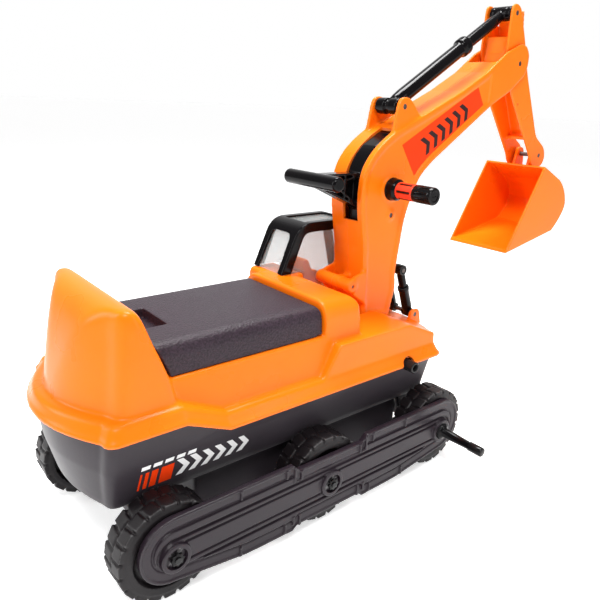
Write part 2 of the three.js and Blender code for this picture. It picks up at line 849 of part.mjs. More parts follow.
function lever() {
  const y = [-23, 5];
  // the strip that fills the slot, and its root at the pin
  const blade = outline([
    [-27, 396],
    [-27.5, 416],
    [-34, 420],
    [-36.5, 440],
    [-36, 462],
    [-30, 485],
    [-7, 508],
    [28, 529],
    [35, 523],
    [9, 499],
    [-3, 480],
    [-9, 452],
    [-8, 424],
    [10, 410],
    [22, 392],
    [0, 388],
  ]);
  let body = slabXZ(blade, ...y).add(acrossY(...LEVER_PIVOT, 13, ...y, 16));
  body = body.add(slabXZ(outline([[-10, 396], [29, 391.5], [29, 416.5], [-8, 428]]), ...y));
  // ribbed arm out to the cross bar
  const [a, b, c, d] = [[-20, 470], [-108, 470], [-106, 452], [-20, 415]];
  body = body.add(slabXZ(outline([a, b, c, d]), -11, -7));
  [[a, b], [c, d], [a, c], [b, d], [[-62, 470], [-62, 433]]].forEach(([p, q]) => {
    body = body.add(strip(p, q, 3.5, -20, 2));
  });
  body = body.add(acrossY(...T_BAR, 11, -57, 57, 20));
  return body.subtract(acrossY(...LEVER_PIVOT, 4 + GAP, -30, 30, 12));
}

function gripKnob() {
  return turned(...GRIP, [
    [0, -119],
    [11.5, -119],
    [13.5, -117],
    [13.5, -84],
    [6, -84],
    [6, -30.7],
    [3, -30.7],
    [3, -24],
    [0, -24],
  ], 16);
}

function gripWasher() {
  return turned(...GRIP, [
    [3 + 0.15, -30.5],
    [9.5, -30.5],
    [9.5, -28],
    [5, -25],
    [3 + 0.15, -25],
  ], 12);
}

function gripSleeve() {
  let body = acrossY(...GRIP, 13, -83.7, -51, 20);
  // lengthwise flutes
  for (let i = 0; i < 6; i += 1) {
    const a = (i * Math.PI) / 3;
    const x = GRIP[0] + 13 * Math.cos(a);
    const z = GRIP[1] + 13 * Math.sin(a);
    body = body.subtract(acrossY(x, z, 1.6, -80, -54, 8));
  }
  return body.subtract(acrossY(...GRIP, 6 + GAP, -90, -40, 16));
}

function gripCollar() {
  return turned(...GRIP, [
    [6 + GAP, -50.7],
    [14.5, -50.7],
    [16.5, -48],
    [17, -40],
    [18, -BOOM_HW - GAP],
    [6 + GAP, -BOOM_HW - GAP],
  ], 20);
}

// ---------------------------------------------------------------- rams
function along([x0, z0], [x1, z1], t) {
  const length = Math.hypot(x1 - x0, z1 - z0);
  return [x0 + ((x1 - x0) * t) / length, z0 + ((z1 - z0) * t) / length];
}

function tubeXZ(from, to, t0, t1, r, y = 0, sides = 16) {
  return rodXZ(along(from, to, t0), along(from, to, t1), r, y, sides);
}

function stickCylinder() {
  const body = union(
    tubeXZ(LUG, STICK_TOP, 8, 186, 12),
    tubeXZ(LUG, STICK_TOP, 184, 202, 15.5),
    acrossY(...LUG, 12.5, -22, 22, 16)
  );
  return cut(body, tubeXZ(LUG, STICK_TOP, 60, 210, 10 + GAP), acrossY(...LUG, 4 + GAP, -30, 30, 12));
}

function stickRod() {
  const end = Math.hypot(STICK_TOP[0] - LUG[0], STICK_TOP[1] - LUG[1]);
  const body = union(tubeXZ(LUG, STICK_TOP, 120, end - 5, 10), acrossY(...STICK_TOP, 12, -21, 21, 16));
  return body.subtract(acrossY(...STICK_TOP, 8, -30, 30, 16));
}

function liftCylinder(y) {
  const eye = acrossY(...LIFT_FOOT, 8, y - 9, y + 9, 16);
  const body = union(tubeXZ(LIFT_FOOT, LIFT_TOP, 3, 54, 10, y), eye);
  const bore = tubeXZ(LIFT_FOOT, LIFT_TOP, 14, 60, 7 + GAP, y);
  return cut(body, bore, acrossY(...LIFT_FOOT, 4 + GAP, -40, 40, 12));
}

function liftRod(y) {
  const end = Math.hypot(LIFT_TOP[0] - LIFT_FOOT[0], LIFT_TOP[1] - LIFT_FOOT[1]);
  const eye = acrossY(...LIFT_TOP, 9, y - 8, y + 8, 16);
  const body = union(tubeXZ(LIFT_FOOT, LIFT_TOP, 26, end - 2, 7, y), eye);
  return body.subtract(acrossY(...LIFT_TOP, LOOSE_R, -40, 40, 12));
}

// ---------------------------------------------------------------- stick
function stick() {
  const plate = rounded([
    [297, 744, 12],
    [296, 662, 10],
    [330, 598, 10],
    [424, 487, 6],
    [436, 465, 12],
    [472, 463, 14],
    [483, 482, 10],
    [474, 502, 8],
    [437, 523, 8],
    [373, 634, 10],
    [352, 682, 10],
    [321, 742, 12],
  ]);
  const [y0, y1] = [23.5, 28];
  let body = slabXZ(plate, y0, y1, 3);
  body = body.add(flipY(body));
  // web along the front edge, with a light window near each end, and the bulkhead above the pivot
  body = body.add(strip([346, 688], [371, 628], 4, -y0 - 1, y0 + 1));
  body = body.add(strip([370, 632], [434, 521], 4, -y0 - 1, y0 + 1));
  body = body.subtract(box(355, 375, -16, 16, 600, 640));
  body = body.add(strip([306, 690], [346, 688], 4, -y0 - 1, y0 + 1));
  body = body.add(strip([309, 692], [306, 650], 4, -y0 - 1, y0 + 1));
  body = body.add(acrossY(...STICK_PIVOT, 11, -y1, y1, 16));
  body = body.add(strip([331, 649], [306, 668], 6, -12, 12));
  // stops between the plates at the bucket end
  body = body.add(acrossY(419, 520, 4, -y0 - 1, y0 + 1, 10));
  return cut(
    body,
    acrossY(...STICK_PIVOT, 4 + GAP, -30, 30, 16),
    acrossY(...STICK_TOP, 4 + 0.15, -30, 30, 16),
    acrossY(...BUCKET_PIVOT, 4 + GAP, -30, 30, 16),
    acrossY(354, 581, 2.4, -30, -20, 10)
  );
}

// ---------------------------------------------------------------- bucket
function bucket() {
  const side = (d) => {
    const s = new THREE.Shape();
    s.moveTo(422 + d * 0.4, 470 - d);
    s.lineTo(487 - d * 0.3, 442 - d);
    s.quadraticCurveTo(519 - d, 422 - d, 525 - d, 392);
    s.quadraticCurveTo(526 - d, 372 + d, 488 - d * 0.5, 339 + d);
    s.lineTo(328 + (d ? -8 : 0), 310 + d);
    if (d) s.lineTo(380, 470 - d);
    s.closePath();
    return s;
  };
  let body = slabXZ(side(0), -66, 66, 6);
  const inner = slabXZ(side(WALL), -66 + WALL, 66 - WALL, 6);
  body = body.subtract(inner);
  const ear = rounded([
    [446, 492, 8],
    [449, 500, 8],
    [466, 500, 8],
    [470, 486, 6],
    [474, 446],
    [440, 460],
  ]);
  const ears = slabXZ(ear, -19, 19, 3).subtract(box(430, 480, -12, 12, 440, 510));
  body = body.add(ears.subtract(slabXZ(side(1), -60, 60, 6)));
  return body.subtract(acrossY(...BUCKET_PIVOT, 4 + GAP, -30, 30, 16));
}

// ---------------------------------------------------------------- assembly
add("hull", hull(), CHARCOAL);
add("shell", shell(), ORANGE);
[-1, 1].forEach((side) => {
  const hand = side < 0 ? "right" : "left";
  ["rear", "mid", "front"].forEach((where, i) => {
    add(`wheel_${where}_${hand}`, wheel(side).translate([AXLE_X[i], 0, AXLE_Z]), TYRE);
  });
  const cover = trackCover();
  add(`track_cover_${hand}`, side < 0 ? flipY(cover) : cover, CHARCOAL);
  const peg = footPeg();
  add(`foot_peg_${hand}`, (side < 0 ? flipY(peg) : peg).translate([AXLE_X[2], 0, AXLE_Z]), BLACK);
  ["rear", "mid"].forEach((where, i) => {
    const cap = side < 0 ? flipY(hubCap()) : hubCap();
    add(`hub_cap_${where}_${hand}`, cap.translate([AXLE_X[i], 0, AXLE_Z]), BLACK);
  });
});
["rear", "mid", "front"].forEach((where, i) => {
  add(`axle_${where}`, acrossY(AXLE_X[i], AXLE_Z, AXLE_R, -164, 164, 16), STEEL);
});

add("cross_tube", acrossY(...STUB, 9, -140, 140, 16).subtract(acrossY(...STUB, 6, -145, 145, 12)), BLACK);
add("seat_lid", lid(), GRAINED);
add("lid_rod", acrossY(...LID_HINGE, 2, -75, 75, 12), STEEL);
add("cab_frame", cabFrame(), BLACK);
add("cab_glazing", cabGlazing(), CLEAR);
add("cab_seat", cabSeat(), ORANGE);
add("boom_right", boomHalf(-1), ORANGE);
add("boom_left", boomHalf(1), ORANGE);
add("boom_pin", acrossY(...BOOM_PIVOT, 5, -53, 53, 16), STEEL);
add("boom_screw_low", acrossY(-50, 299, 2.5, -38, 35, 12), STEEL);
add("boom_screw_high", acrossY(178, 562, 2.5, -33, 29, 12), STEEL);
add("control_lever", lever(), BLACK);
add("lever_pin", acrossY(...LEVER_PIVOT, 4, -33, 32, 16), STEEL);
add("grip_knob", gripKnob(), BLACK);
add("grip_sleeve", gripSleeve(), RED);
add("grip_collar", gripCollar(), BLACK);
add("grip_washer", gripWasher(), STEEL);
add("stick_ram_cylinder", stickCylinder(), BLACK);
add("stick_ram_rod", stickRod(), BLACK);
add("ram_foot_pin", acrossY(...LUG, 4, -30.5, 30.5, 16), STEEL);
add("ram_head_pin", acrossY(...STICK_TOP, 4, -28, 28, 16), STEEL);
["right", "left"].forEach((hand, i) => {
  const y = i ? 18.5 : -18.5;
  add(`lift_ram_cylinder_${hand}`, liftCylinder(y), BLACK);
  add(`lift_ram_rod_${hand}`, liftRod(y), BLACK);
});
add("lift_foot_pin", acrossY(...LIFT_FOOT, 4, -35.5, 35.5, 12), STEEL);
add("lift_head_pin", acrossY(...LIFT_TOP, 4, -27, 27, 12), STEEL);
add("stick", stick(), ORANGE);
add("stick_pin", acrossY(...STICK_PIVOT, 4, -34.5, 34.5, 16), STEEL);
add("bucket", bucket(), ORANGE);
add("bucket_pin", acrossY(...BUCKET_PIVOT, 4, -28, 28, 16), STEEL);

const part = new THREE.Group();
nodes.forEach((n) => part.add(n));
export default part;
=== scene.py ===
import json
import math

import bmesh
import bpy
from mathutils import Matrix, Vector
from mathutils.bvhtree import BVHTree


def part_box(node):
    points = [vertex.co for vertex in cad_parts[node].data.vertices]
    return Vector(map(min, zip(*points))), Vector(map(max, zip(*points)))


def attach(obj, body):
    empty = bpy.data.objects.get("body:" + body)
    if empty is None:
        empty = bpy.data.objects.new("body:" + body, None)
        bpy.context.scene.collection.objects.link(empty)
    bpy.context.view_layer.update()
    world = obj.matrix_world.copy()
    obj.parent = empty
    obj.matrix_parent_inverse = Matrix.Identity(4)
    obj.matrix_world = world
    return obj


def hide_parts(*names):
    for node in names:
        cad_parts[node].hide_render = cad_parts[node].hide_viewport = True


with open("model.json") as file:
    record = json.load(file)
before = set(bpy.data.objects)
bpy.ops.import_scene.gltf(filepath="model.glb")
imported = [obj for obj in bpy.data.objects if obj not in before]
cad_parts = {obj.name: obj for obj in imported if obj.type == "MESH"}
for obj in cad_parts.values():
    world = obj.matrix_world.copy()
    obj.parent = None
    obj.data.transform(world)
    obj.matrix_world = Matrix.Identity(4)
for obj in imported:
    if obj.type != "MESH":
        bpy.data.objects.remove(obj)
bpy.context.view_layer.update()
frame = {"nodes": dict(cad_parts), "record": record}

MM = 0.001
RECORD = frame["record"]
BODY = {node: body for body, nodes in RECORD["behaviour"]["bodies"].items() for node in nodes}
SLOT = {part["node"]: part["material_slot"] for part in RECORD["subparts"]}
PIVOT = {joint["name"]: Vector(joint["pos_m"]) / MM
         for joint in RECORD["behaviour"]["joints"] if "pos_m" in joint}


def box_mm(node):
    """(x0, y0, z0, x1, y1, z1) of a node in millimetres."""
    low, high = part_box(node)
    return [v / MM for v in (*low, *high)]


def centre(node):
    """The middle of a node's box in x, z."""
    x0, _, z0, x1, _, z1 = box_mm(node)
    return ((x0 + x1) / 2, (z0 + z1) / 2)


def pivot(joint):
    """Where a joint's axis crosses the centre plane, in x, z."""
    return (PIVOT[joint][0], PIVOT[joint][2])


SEAT_HINGE = pivot("seat_hinge")
BOOM_FOOT = pivot("boom_lift")
LEVER = pivot("lever_swing")
GRIP = pivot("grip_twist")
STICK = pivot("stick_swing")
BUCKET = pivot("bucket_curl")
RAM_FOOT = pivot("ram_cylinder_swing")
RAM_HEAD = centre("ram_head_pin")
LIFT_FOOT = pivot("lift_cylinder_swing")
LIFT_HEAD = centre("lift_head_pin")
CROSS_TUBE = centre("cross_tube")
AXLES = [pivot(f"wheel_{place}_right_roll") for place in ("rear", "mid", "front")]
AXLE_X = [x for x, _ in AXLES]
AXLE_Z = AXLES[1][1]

# radii of the bores, each 0.3 mm over what runs in it
AXLE_BORE = 5.3  # the axles and the boom's foot pin
PIN_BORE = 4.3
SCREW_BORE = 2.9
HINGE_BORE = 2.3
GRIP_BORE = 6.3


# ------------------------------------------------------------------ node helpers
def node_of(tree, kind, **values):
    node = tree.nodes.new(kind)
    for key, value in values.items():
        setattr(node, key, value)
    return node


def remap(tree, value, source, target):
    """The value, with the range source stretched to the range target and clamped there."""
    node = tree.nodes.new("ShaderNodeMapRange")
    for socket, number in zip(("From Min", "From Max", "To Min", "To Max"), (*source, *target)):
        node.inputs[socket].default_value = number
    tree.links.new(value, node.inputs["Value"])
    return node.outputs["Result"]


def noise(tree, place, scale, detail):
    node = tree.nodes.new("ShaderNodeTexNoise")
    node.inputs["Scale"].default_value = scale
    node.inputs["Detail"].default_value = detail
    tree.links.new(place, node.inputs["Vector"])
    return node.outputs["Fac"]


def blended(tree, factor, under, color):
    """The colour under, painted over with a fixed colour by the factor."""
    node = node_of(tree, "ShaderNodeMix", data_type="RGBA")
    tree.links.new(factor, node.inputs["Factor"])
    tree.links.new(under, node.inputs["A"])
    node.inputs["B"].default_value = (*color, 1)
    return node.outputs["Result"]


# ------------------------------------------------------------------ camera, lights and floor
def make_camera():
    """The photograph's view: from behind and to the right, a little above the seat."""
    yaw, pitch, roll = math.radians(49.95), math.radians(-18.63), math.radians(2.57)
    level = math.cos(pitch)
    ahead = Vector((level * math.cos(yaw), level * math.sin(yaw), math.sin(pitch)))
    data = bpy.data.cameras.new("camera")
    data.lens = 35.72
    data.sensor_width = 36.0
    camera = bpy.data.objects.new("camera", data)
    bpy.context.scene.collection.objects.link(camera)
    camera.location = Vector((-684.7, -667.3, 573.2)) * MM
    camera.rotation_mode = "QUATERNION"
    turn = ahead.to_track_quat("-Z", "Y")
    camera.rotation_quaternion = Matrix.Rotation(-roll, 3, ahead).to_quaternion() @ turn
    bpy.context.scene.camera = camera


def area_light(name, place, target, size, power):
    data = bpy.data.lights.new(name, "AREA")
    data.shape = "RECTANGLE"
    data.size, data.size_y = size
    data.energy = power
    light = bpy.data.objects.new(name, data)
    light.location = place
    light.rotation_mode = "QUATERNION"
    light.rotation_quaternion = (Vector(target) - Vector(place)).to_track_quat("-Z", "Y")
    bpy.context.scene.collection.objects.link(light)


def make_studio():
    """A near-white floor and soft light from every side, strongest from above and from the
    camera's side."""
    scene = bpy.context.scene
    scene.view_settings.view_transform = "Standard"
    world = bpy.data.worlds.new("studio")
    scene.world = world
    world.use_nodes = True
    tree = world.node_tree
    background = tree.nodes["Background"]
    background.inputs["Color"].default_value = (1, 1, 1, 1)
    # a white sheet hangs behind the toy; the rest of the room is dimmer
    sky = tree.nodes.new("ShaderNodeTexCoord")
    toward = node_of(tree, "ShaderNodeVectorMath", operation="DOT_PRODUCT")
    toward.inputs[1].default_value = (0.643, 0.766, 0)
    tree.links.new(sky.outputs["Generated"], toward.inputs[0])
    sheet = remap(tree, toward.outputs["Value"], (0.45, 0.7), (0.28, 1.0))
    tree.links.new(sheet, background.inputs["Strength"])
    area_light("key", (-1.1, -1.0, 2.2), (0, 0, 0.25), (0.8, 0.6), 38)
    area_light("side", (0.9, -1.9, 0.9), (0.1, 0, 0.3), (0.35, 1.4), 7)
    area_light("back", (-1.9, 0.9, 1.2), (-0.2, 0, 0.2), (0.5, 1.4), 17)
    area_light("top", (0.2, 0.3, 2.2), (0, 0, 0), (0.9, 0.7), 58)
    mesh = bpy.data.meshes.new("floor")
    reach = 40.0
    corners = [(-reach, -reach, 0), (reach, -reach, 0), (reach, reach, 0), (-reach, reach, 0)]
    mesh.from_pydata(corners, [], [(0, 1, 2, 3)])
    floor = bpy.data.objects.new("floor", mesh)
    floor.location.z = -0.0005
    scene.collection.objects.link(floor)
    paint = bpy.data.materials.new("floor_paint")
    paint.use_nodes = True
    shader = paint.node_tree.nodes["Principled BSDF"]
    shader.inputs["Base Color"].default_value = (0.9, 0.9, 0.9, 1)
    shader.inputs["Roughness"].default_value = 0.7
    shader.inputs["Emission Color"].default_value = (1, 1, 1, 1)
    shader.inputs["Emission Strength"].default_value = 0.58
    mesh.materials.append(paint)


make_camera()
make_studio()


# ------------------------------------------------------------------ materials
def plastic(name, color, roughness, *, spread=0.05, grain=0.0, grain_size=1.0, wear=0.12,
            metallic=0.0, groove_shade=0.0, specular=0.25):
    """Moulded plastic or metal: a base colour with slow variation, a grained or faintly rippled
    skin with uneven gloss, and edges that have rubbed lighter. grain is the bump's height in mm
    and grain_size its width in mm."""
    material = bpy.data.materials.new(name)
    material.use_nodes = True
    tree = material.node_tree
    shader = tree.nodes["Principled BSDF"]
    link = tree.links.new
    place = node_of(tree, "ShaderNodeTexCoord").outputs["Object"]
    slow = noise(tree, place, 9, 4)
    fine = noise(tree, place, 1 / (grain_size * MM * 2), 3)

    mottle = 0.4 * grain
    tone = node_of(tree, "ShaderNodeMath", operation="MULTIPLY")
    link(remap(tree, slow, (0.3, 0.7), (1 - spread, 1 + spread)), tone.inputs[0])
    link(remap(tree, fine, (0.35, 0.65), (1 - mottle, 1 + mottle)), tone.inputs[1])
    tint = node_of(tree, "ShaderNodeVectorMath", operation="SCALE")
    tint.inputs[0].default_value = color
    link(tone.outputs["Value"], tint.inputs["Scale"])

    # pointiness is 0.5 on a flat face, higher along an edge and lower in a groove
    point = node_of(tree, "ShaderNodeNewGeometry").outputs["Pointiness"]
    lighter = [c + (1 - c) * 0.55 for c in color]
    edge = remap(tree, point, (0.53, 0.62), (0, wear))
    hue = blended(tree, edge, tint.outputs["Vector"], lighter)
    # painted shade: grooves and creases, where pointiness is low, are darkened towards a third of
    # the base colour
    if groove_shade:
        painted_shade_color = [c * 0.35 for c in color]
        groove_shade_mask = remap(tree, point, (0.47, 0.40), (0, groove_shade))
        hue = blended(tree, groove_shade_mask, hue, painted_shade_color)
    link(hue, shader.inputs["Base Color"])

    gloss = (max(0.04, roughness - 0.07), roughness + 0.07)
    link(remap(tree, slow, (0.25, 0.75), gloss), shader.inputs["Roughness"])
    bump = node_of(tree, "ShaderNodeBump")
    bump.inputs["Strength"].default_value = 1.0
    bump.inputs["Distance"].default_value = max(grain, 0.012) * MM
    link(fine, bump.inputs["Height"])
    link(bump.outputs["Normal"], shader.inputs["Normal"])
    shader.inputs["Metallic"].default_value = metallic
    shader.inputs["Specular IOR Level"].default_value = specular
    return material


ORANGE = plastic("orange_moulding", (0.94, 0.178, 0.003), 0.3, spread=0.04, grain=0.02,
                 grain_size=2.5, wear=0.14, specular=0.19)
CHARCOAL = plastic("charcoal_moulding", (0.03, 0.024, 0.03), 0.42, spread=0.12, grain=0.03,
                   grain_size=0.8, wear=0.2)
# the cover's grooves and creases are darkened as painted shade
COVER = plastic("cover_moulding", (0.016, 0.01, 0.015), 0.34, spread=0.15, grain=0.03,
                grain_size=0.9, wear=0.25, groove_shade=0.6)
SEAT = plastic("grained_seat", (0.027, 0.016, 0.024), 0.42, spread=0.1, grain=1.0,
               grain_size=1.3, wear=0.05)
BLACK = plastic("black_moulding", (0.003, 0.0025, 0.003), 0.16, spread=0.2, grain=0.012,
                grain_size=2.0, wear=0.04, specular=0.14)
TYRE = plastic("tyre_moulding", (0.007, 0.005, 0.006), 0.44, spread=0.15, grain=0.05,
               grain_size=0.7, wear=0.25)
RED = plastic("red_moulding", (0.75, 0.035, 0.005), 0.25, grain=0.012, wear=0.1, specular=0.15)
STEEL = plastic("zinc_steel", (0.6, 0.6, 0.61), 0.34, spread=0.06, grain=0.012,
                grain_size=0.4, metallic=1.0)
# painted shade: metallic steel coloured dark red-brown, the shade that the pin and screw ends sit
# in inside their recesses
PIN_SHADE_STEEL = plastic("steel_with_painted_shade", (0.05, 0.028, 0.022), 0.42, spread=0.1, grain=0.012,
                grain_size=0.4, metallic=0.9)
RED_LABEL = plastic("red_label", (0.8, 0.045, 0.004), 0.4, spread=0.03, wear=0.0, specular=0.08)
BLACK_LABEL = plastic("black_label", (0.02, 0.004, 0.003), 0.4, spread=0.1, wear=0.0)
WHITE_LABEL = plastic("white_label", (0.85, 0.85, 0.85), 0.4, spread=0.02, wear=0.0)


def clear_plastic():
    """Thin clear sheet with a faint haze."""
    material = plastic("clear_sheet", (0.42, 0.46, 0.46), 0.1, spread=0.03, wear=0.0)
    shader = material.node_tree.nodes["Principled BSDF"]
    shader.inputs["Alpha"].default_value = 0.3
    return material


CLEAR = clear_plastic()
FINISH = {
    "orange_plastic": ORANGE,
    "charcoal_plastic": CHARCOAL,
    "seat_plastic": SEAT,
    "black_plastic": BLACK,
    "tyre_plastic": TYRE,
    "red_plastic": RED,
    "steel": STEEL,
    "clear_plastic": CLEAR,
}


# ------------------------------------------------------------------ mesh helpers
def make(name, points, faces):
    """A new object from points in mm, with its faces turned outward."""
    mesh = bpy.data.meshes.new(name)
    mesh.from_pydata([Vector(p) * MM for p in points], [], faces)
    shell = bmesh.new()
    shell.from_mesh(mesh)
    bmesh.ops.remove_doubles(shell, verts=shell.verts, dist=1e-6)
    bmesh.ops.recalc_face_normals(shell, faces=shell.faces)
    shell.to_mesh(mesh)
    shell.free()
    obj = bpy.data.objects.new(name, mesh)
    bpy.context.scene.collection.objects.link(obj)
    return obj


def prism(outline, low, high, axis="y"):
    """Extrudes an outline. axis y takes x, z points, axis x takes y, z points and axis z takes
    x, y points."""
    place = {"y": lambda a, b, t: (a, t, b), "x": lambda a, b, t: (t, a, b),
             "z": lambda a, b, t: (a, b, t)}[axis]
    n = len(outline)
    points = [place(a, b, t) for t in (low, high) for a, b in outline]
    sides = [(i, (i + 1) % n, n + (i + 1) % n, n + i) for i in range(n)]
    return make("prism", points, [tuple(range(n)), tuple(range(n, 2 * n)), *sides])


def block(x0, x1, y0, y1, z0, z1):
    return prism([(x0, z0), (x1, z0), (x1, z1), (x0, z1)], y0, y1)


def around(x, z, r, a):
    """The point at radius r and angle a round x, z, from straight up towards the front."""
    return (x + r * math.sin(a), z + r * math.cos(a))


def spun(profile, x, z, sides=48):
    """A solid of revolution about the line across the machine through x, z. profile is
    (radius, y) pairs that start and end on the axis or close on themselves."""
    n = len(profile)
    points = []
    for i in range(sides):
        a = 2 * math.pi * i / sides
        points += [(x + r * math.sin(a), y, z + r * math.cos(a)) for r, y in profile]
    faces = []
    for i in range(sides):
        j = (i + 1) % sides
        for k in range(n):
            m = (k + 1) % n
            if profile[k][0] < 1e-6 and profile[m][0] < 1e-6:
                continue
            faces.append((i * n + k, j * n + k, j * n + m, i * n + m))
    return make("spun", points, faces)


def bar(x, z, radius, y0, y1, edge=0.0, sides=40):
    """A round bar across the machine, its two rims rounded by edge."""
    turns = [math.radians(t) for t in ((0, 30, 60, 90) if edge else (0,))]
    arc = [(math.cos(t), math.sin(t)) for t in turns]
    right = [(radius - edge + edge * c, y1 - edge + edge * s) for c, s in arc]
    left = [(radius - edge + edge * c, y0 + edge - edge * s) for c, s in reversed(arc)]
    return spun([(0, y0), *left, *right, (0, y1)], x, z, sides)


def rounded(corners, steps=7):
    """A closed outline with rounded corners; each corner is (a, b) or (a, b, radius)."""
    out = []
    n = len(corners)
    for i, corner in enumerate(corners):
        here = Vector(corner[:2])
        radius = corner[2] if len(corner) > 2 else 0
        if not radius:
            out.append(tuple(here))
            continue
        ends = []
        for other in (corners[i - 1], corners[(i + 1) % n]):
            way = Vector(other[:2]) - here
            ends.append(here + way * min(radius / way.length, 0.5))
        for k in range(steps + 1):
            t = k / steps
            out.append(tuple(ends[0] * (1 - t) ** 2 + here * 2 * t * (1 - t) + ends[1] * t * t))
    return out


def loft(rings):
    """Joins rings of equal length, bottom to top, and closes both ends."""
    n = len(rings[0])
    points = [p for r in rings for p in r]
    faces = [(k * n + i, k * n + (i + 1) % n, (k + 1) * n + (i + 1) % n, (k + 1) * n + i)
             for k in range(len(rings) - 1) for i in range(n)]
    # each ring mirrors itself in the centre plane, so its cap is a ladder of flat strips
    for start in (0, (len(rings) - 1) * n):
        faces.append((start, start + 1, start + n - 1))
        faces += [(start + i, start + i + 1, start + n - i - 1, start + n - i)
                  for i in range(1, n // 2 - 1)]
        faces.append((start + n // 2 - 1, start + n // 2, start + n // 2 + 1))
    return make("loft", points, faces)


def settle(obj):
    """Applies an object's modifiers to its mesh."""
    bpy.context.view_layer.update()
    graph = bpy.context.evaluated_depsgraph_get()
    mesh = bpy.data.meshes.new_from_object(obj.evaluated_get(graph))
    old = obj.data
    obj.modifiers.clear()
    obj.data = mesh
    bpy.data.meshes.remove(old)
    return obj


def combine(obj, others, operation):
    for other in others:
        step = obj.modifiers.new("combine", "BOOLEAN")
        step.solver = "MANIFOLD"
        step.operation = operation
        step.object = other
        settle(obj)
        bpy.data.objects.remove(other)
    return obj


def cut(obj, *tools):
    return combine(obj, tools, "DIFFERENCE")


def common(obj, *others):
    return combine(obj, others, "INTERSECT")


def weld(obj, *others):
    return combine(obj, others, "UNION")


def mirrored(obj):
    """Turns an object into its own mirror image in the centre plane."""
    obj.data.transform(Matrix.Diagonal((1, -1, 1, 1)))
    obj.data.flip_normals()
    return obj


def copy_of(obj):
    twin = bpy.data.objects.new(obj.name, obj.data.copy())
    bpy.context.scene.collection.objects.link(twin)
    return twin


def soften(obj, voxel, rounds, keep=1.0):
    """Turns joined solids into one moulded skin: an even mesh, its corners rounded by smoothing.
    voxel is in mm, and keep is the share of its faces that stays."""
    step = obj.modifiers.new("remesh", "REMESH")
    step.mode = "VOXEL"
    step.voxel_size = voxel * MM
    step.use_smooth_shade = True
    smooth = obj.modifiers.new("smooth", "SMOOTH")
    smooth.factor = 0.5
    smooth.iterations = rounds
    if keep < 1:
        thin = obj.modifiers.new("thin", "DECIMATE")
        thin.ratio = keep
    return settle(obj)


def bevel(obj, width, segments=3):
    step = obj.modifiers.new("bevel", "BEVEL")
    step.width = width * MM
    step.segments = segments
    step.limit_method = "ANGLE"
    step.angle_limit = math.radians(30)
    return settle(obj)


def shade(obj, angle=35):
    """Smooth shading that keeps creases sharper than the angle."""
    for face in obj.data.polygons:
        face.use_smooth = True
    obj.data.set_sharp_from_angle(angle=math.radians(angle))
    return obj


def trim(obj, name, near, material):
    """Names a finished piece, paints it and lets it ride with the CAD node that it sits on."""
    obj.name = name
    obj.data.name = name
    obj.data.materials.clear()
    obj.data.materials.append(material)
    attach(obj, BODY[near])
    return obj


def stands_for(obj, node, material, name=None):
    """Lets a finished skin stand for a CAD node."""
    trim(obj, name or f"{node}_skin", node, material)
    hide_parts(node)
    return obj


# ------------------------------------------------------------------ upper shell
REAR, _, SKIRT_Z, NOSE, SKIRT_HW, CROWN_Z = box_mm("shell")
STEP = 26.0  # how much higher the skirt's edge lies at the rear
STEP_X = (REAR + 134, REAR + 193)
_, _, RIM_Z, SEAT_FRONT, SEAT_HW, SEAT_Z = box_mm("seat_lid")
RIM_Z -= 0.3
COWL_Z = SEAT_Z + 6
PLINTH_Z = box_mm("cab_seat")[2] - 0.3
DECK_Z = PLINTH_Z - 23
ARC = 14  # points on half of a bowed end
CORNER = 8  # points on a corner


def ring(z, rear, nose, hw, bow_rear, bow_nose, r, rise=0.0):
    """One closed ring round the body at height z, higher by rise at the rear: straight sides,
    a bowed rear and a bowed nose, and corners of radius r."""
    half = []
    inner = hw - r
    for i in range(ARC + 1):
        y = inner * i / ARC
        half.append((nose - bow_nose * (y / inner) ** 2, y))
    turn = []
    for i in range(1, CORNER + 1):
        t = i / CORNER
        turn.append((r * t * t * 0.9, hw - r * (1 - t) ** 2))
    half += [(nose - bow_nose - d, y) for d, y in turn]
    half += [(STEP_X[1] + 8, hw), (STEP_X[1], hw), (STEP_X[0], hw), (STEP_X[0] - 8, hw)]
    half += [(rear + bow_rear + d, y) for d, y in reversed(turn)]
    for i in range(ARC, -1, -1):
        y = inner * i / ARC
        half.append((rear + bow_rear * (y / inner) ** 2, y))

    def height(x):
        return z + rise * min(1, max(0, (STEP_X[1] - x) / (STEP_X[1] - STEP_X[0])))

    left = [(x, y, height(x)) for x, y in half]
    return left + [(x, -y, h) for x, y, h in reversed(left[1:-1])]


def skirt(*levels):
    """The skirt as a solid; each level is how high above its edge and how far in it lies."""
    return loft([ring(SKIRT_Z + up, REAR + d, NOSE - d, SKIRT_HW - d, 37, 50, 18, STEP)
                 for up, d in levels])


def backrest():
    side = rounded([(-384, 205), (-399, 262, 10), (-423, 324, 14), (-435, CROWN_Z + 1, 17),
                    (-468, CROWN_Z - 6, 24), (-489, 306, 34), (-513, 205)], 12)
    levels = [(205, -510, 111, 36), (260, -501, 112, 34), (300, -494, 111, 31),
              (365, -480, 106, 23)]
    walls = loft([ring(z, rear, -330, hw, bow, 0, 21) for z, rear, hw, bow in levels])
    crown = rounded([(-136, 190), (-119, CROWN_Z - 1, 30), (119, CROWN_Z - 1, 30), (136, 190)], 12)
    return soften(common(prism(side, -120, 120), walls, prism(crown, -540, -330, "x")), 3.0, 45)


def seat_box():
    section = rounded([(-109, 196), (-99, RIM_Z, 3), (99, RIM_Z, 3), (109, 196)])
    return prism(section, -400, -150, "x")


def cowl():
    section = rounded([(-103, 200), (-98, COWL_Z, 27), (98, COWL_Z, 27), (103, 200)], 12)
    side = rounded([(-157, 200), (-157, COWL_Z, 5), (-92, COWL_Z, 20), (-86, 200)], 10)
    return common(prism(section, -160, -80, "x"), prism(side, -110, 110))


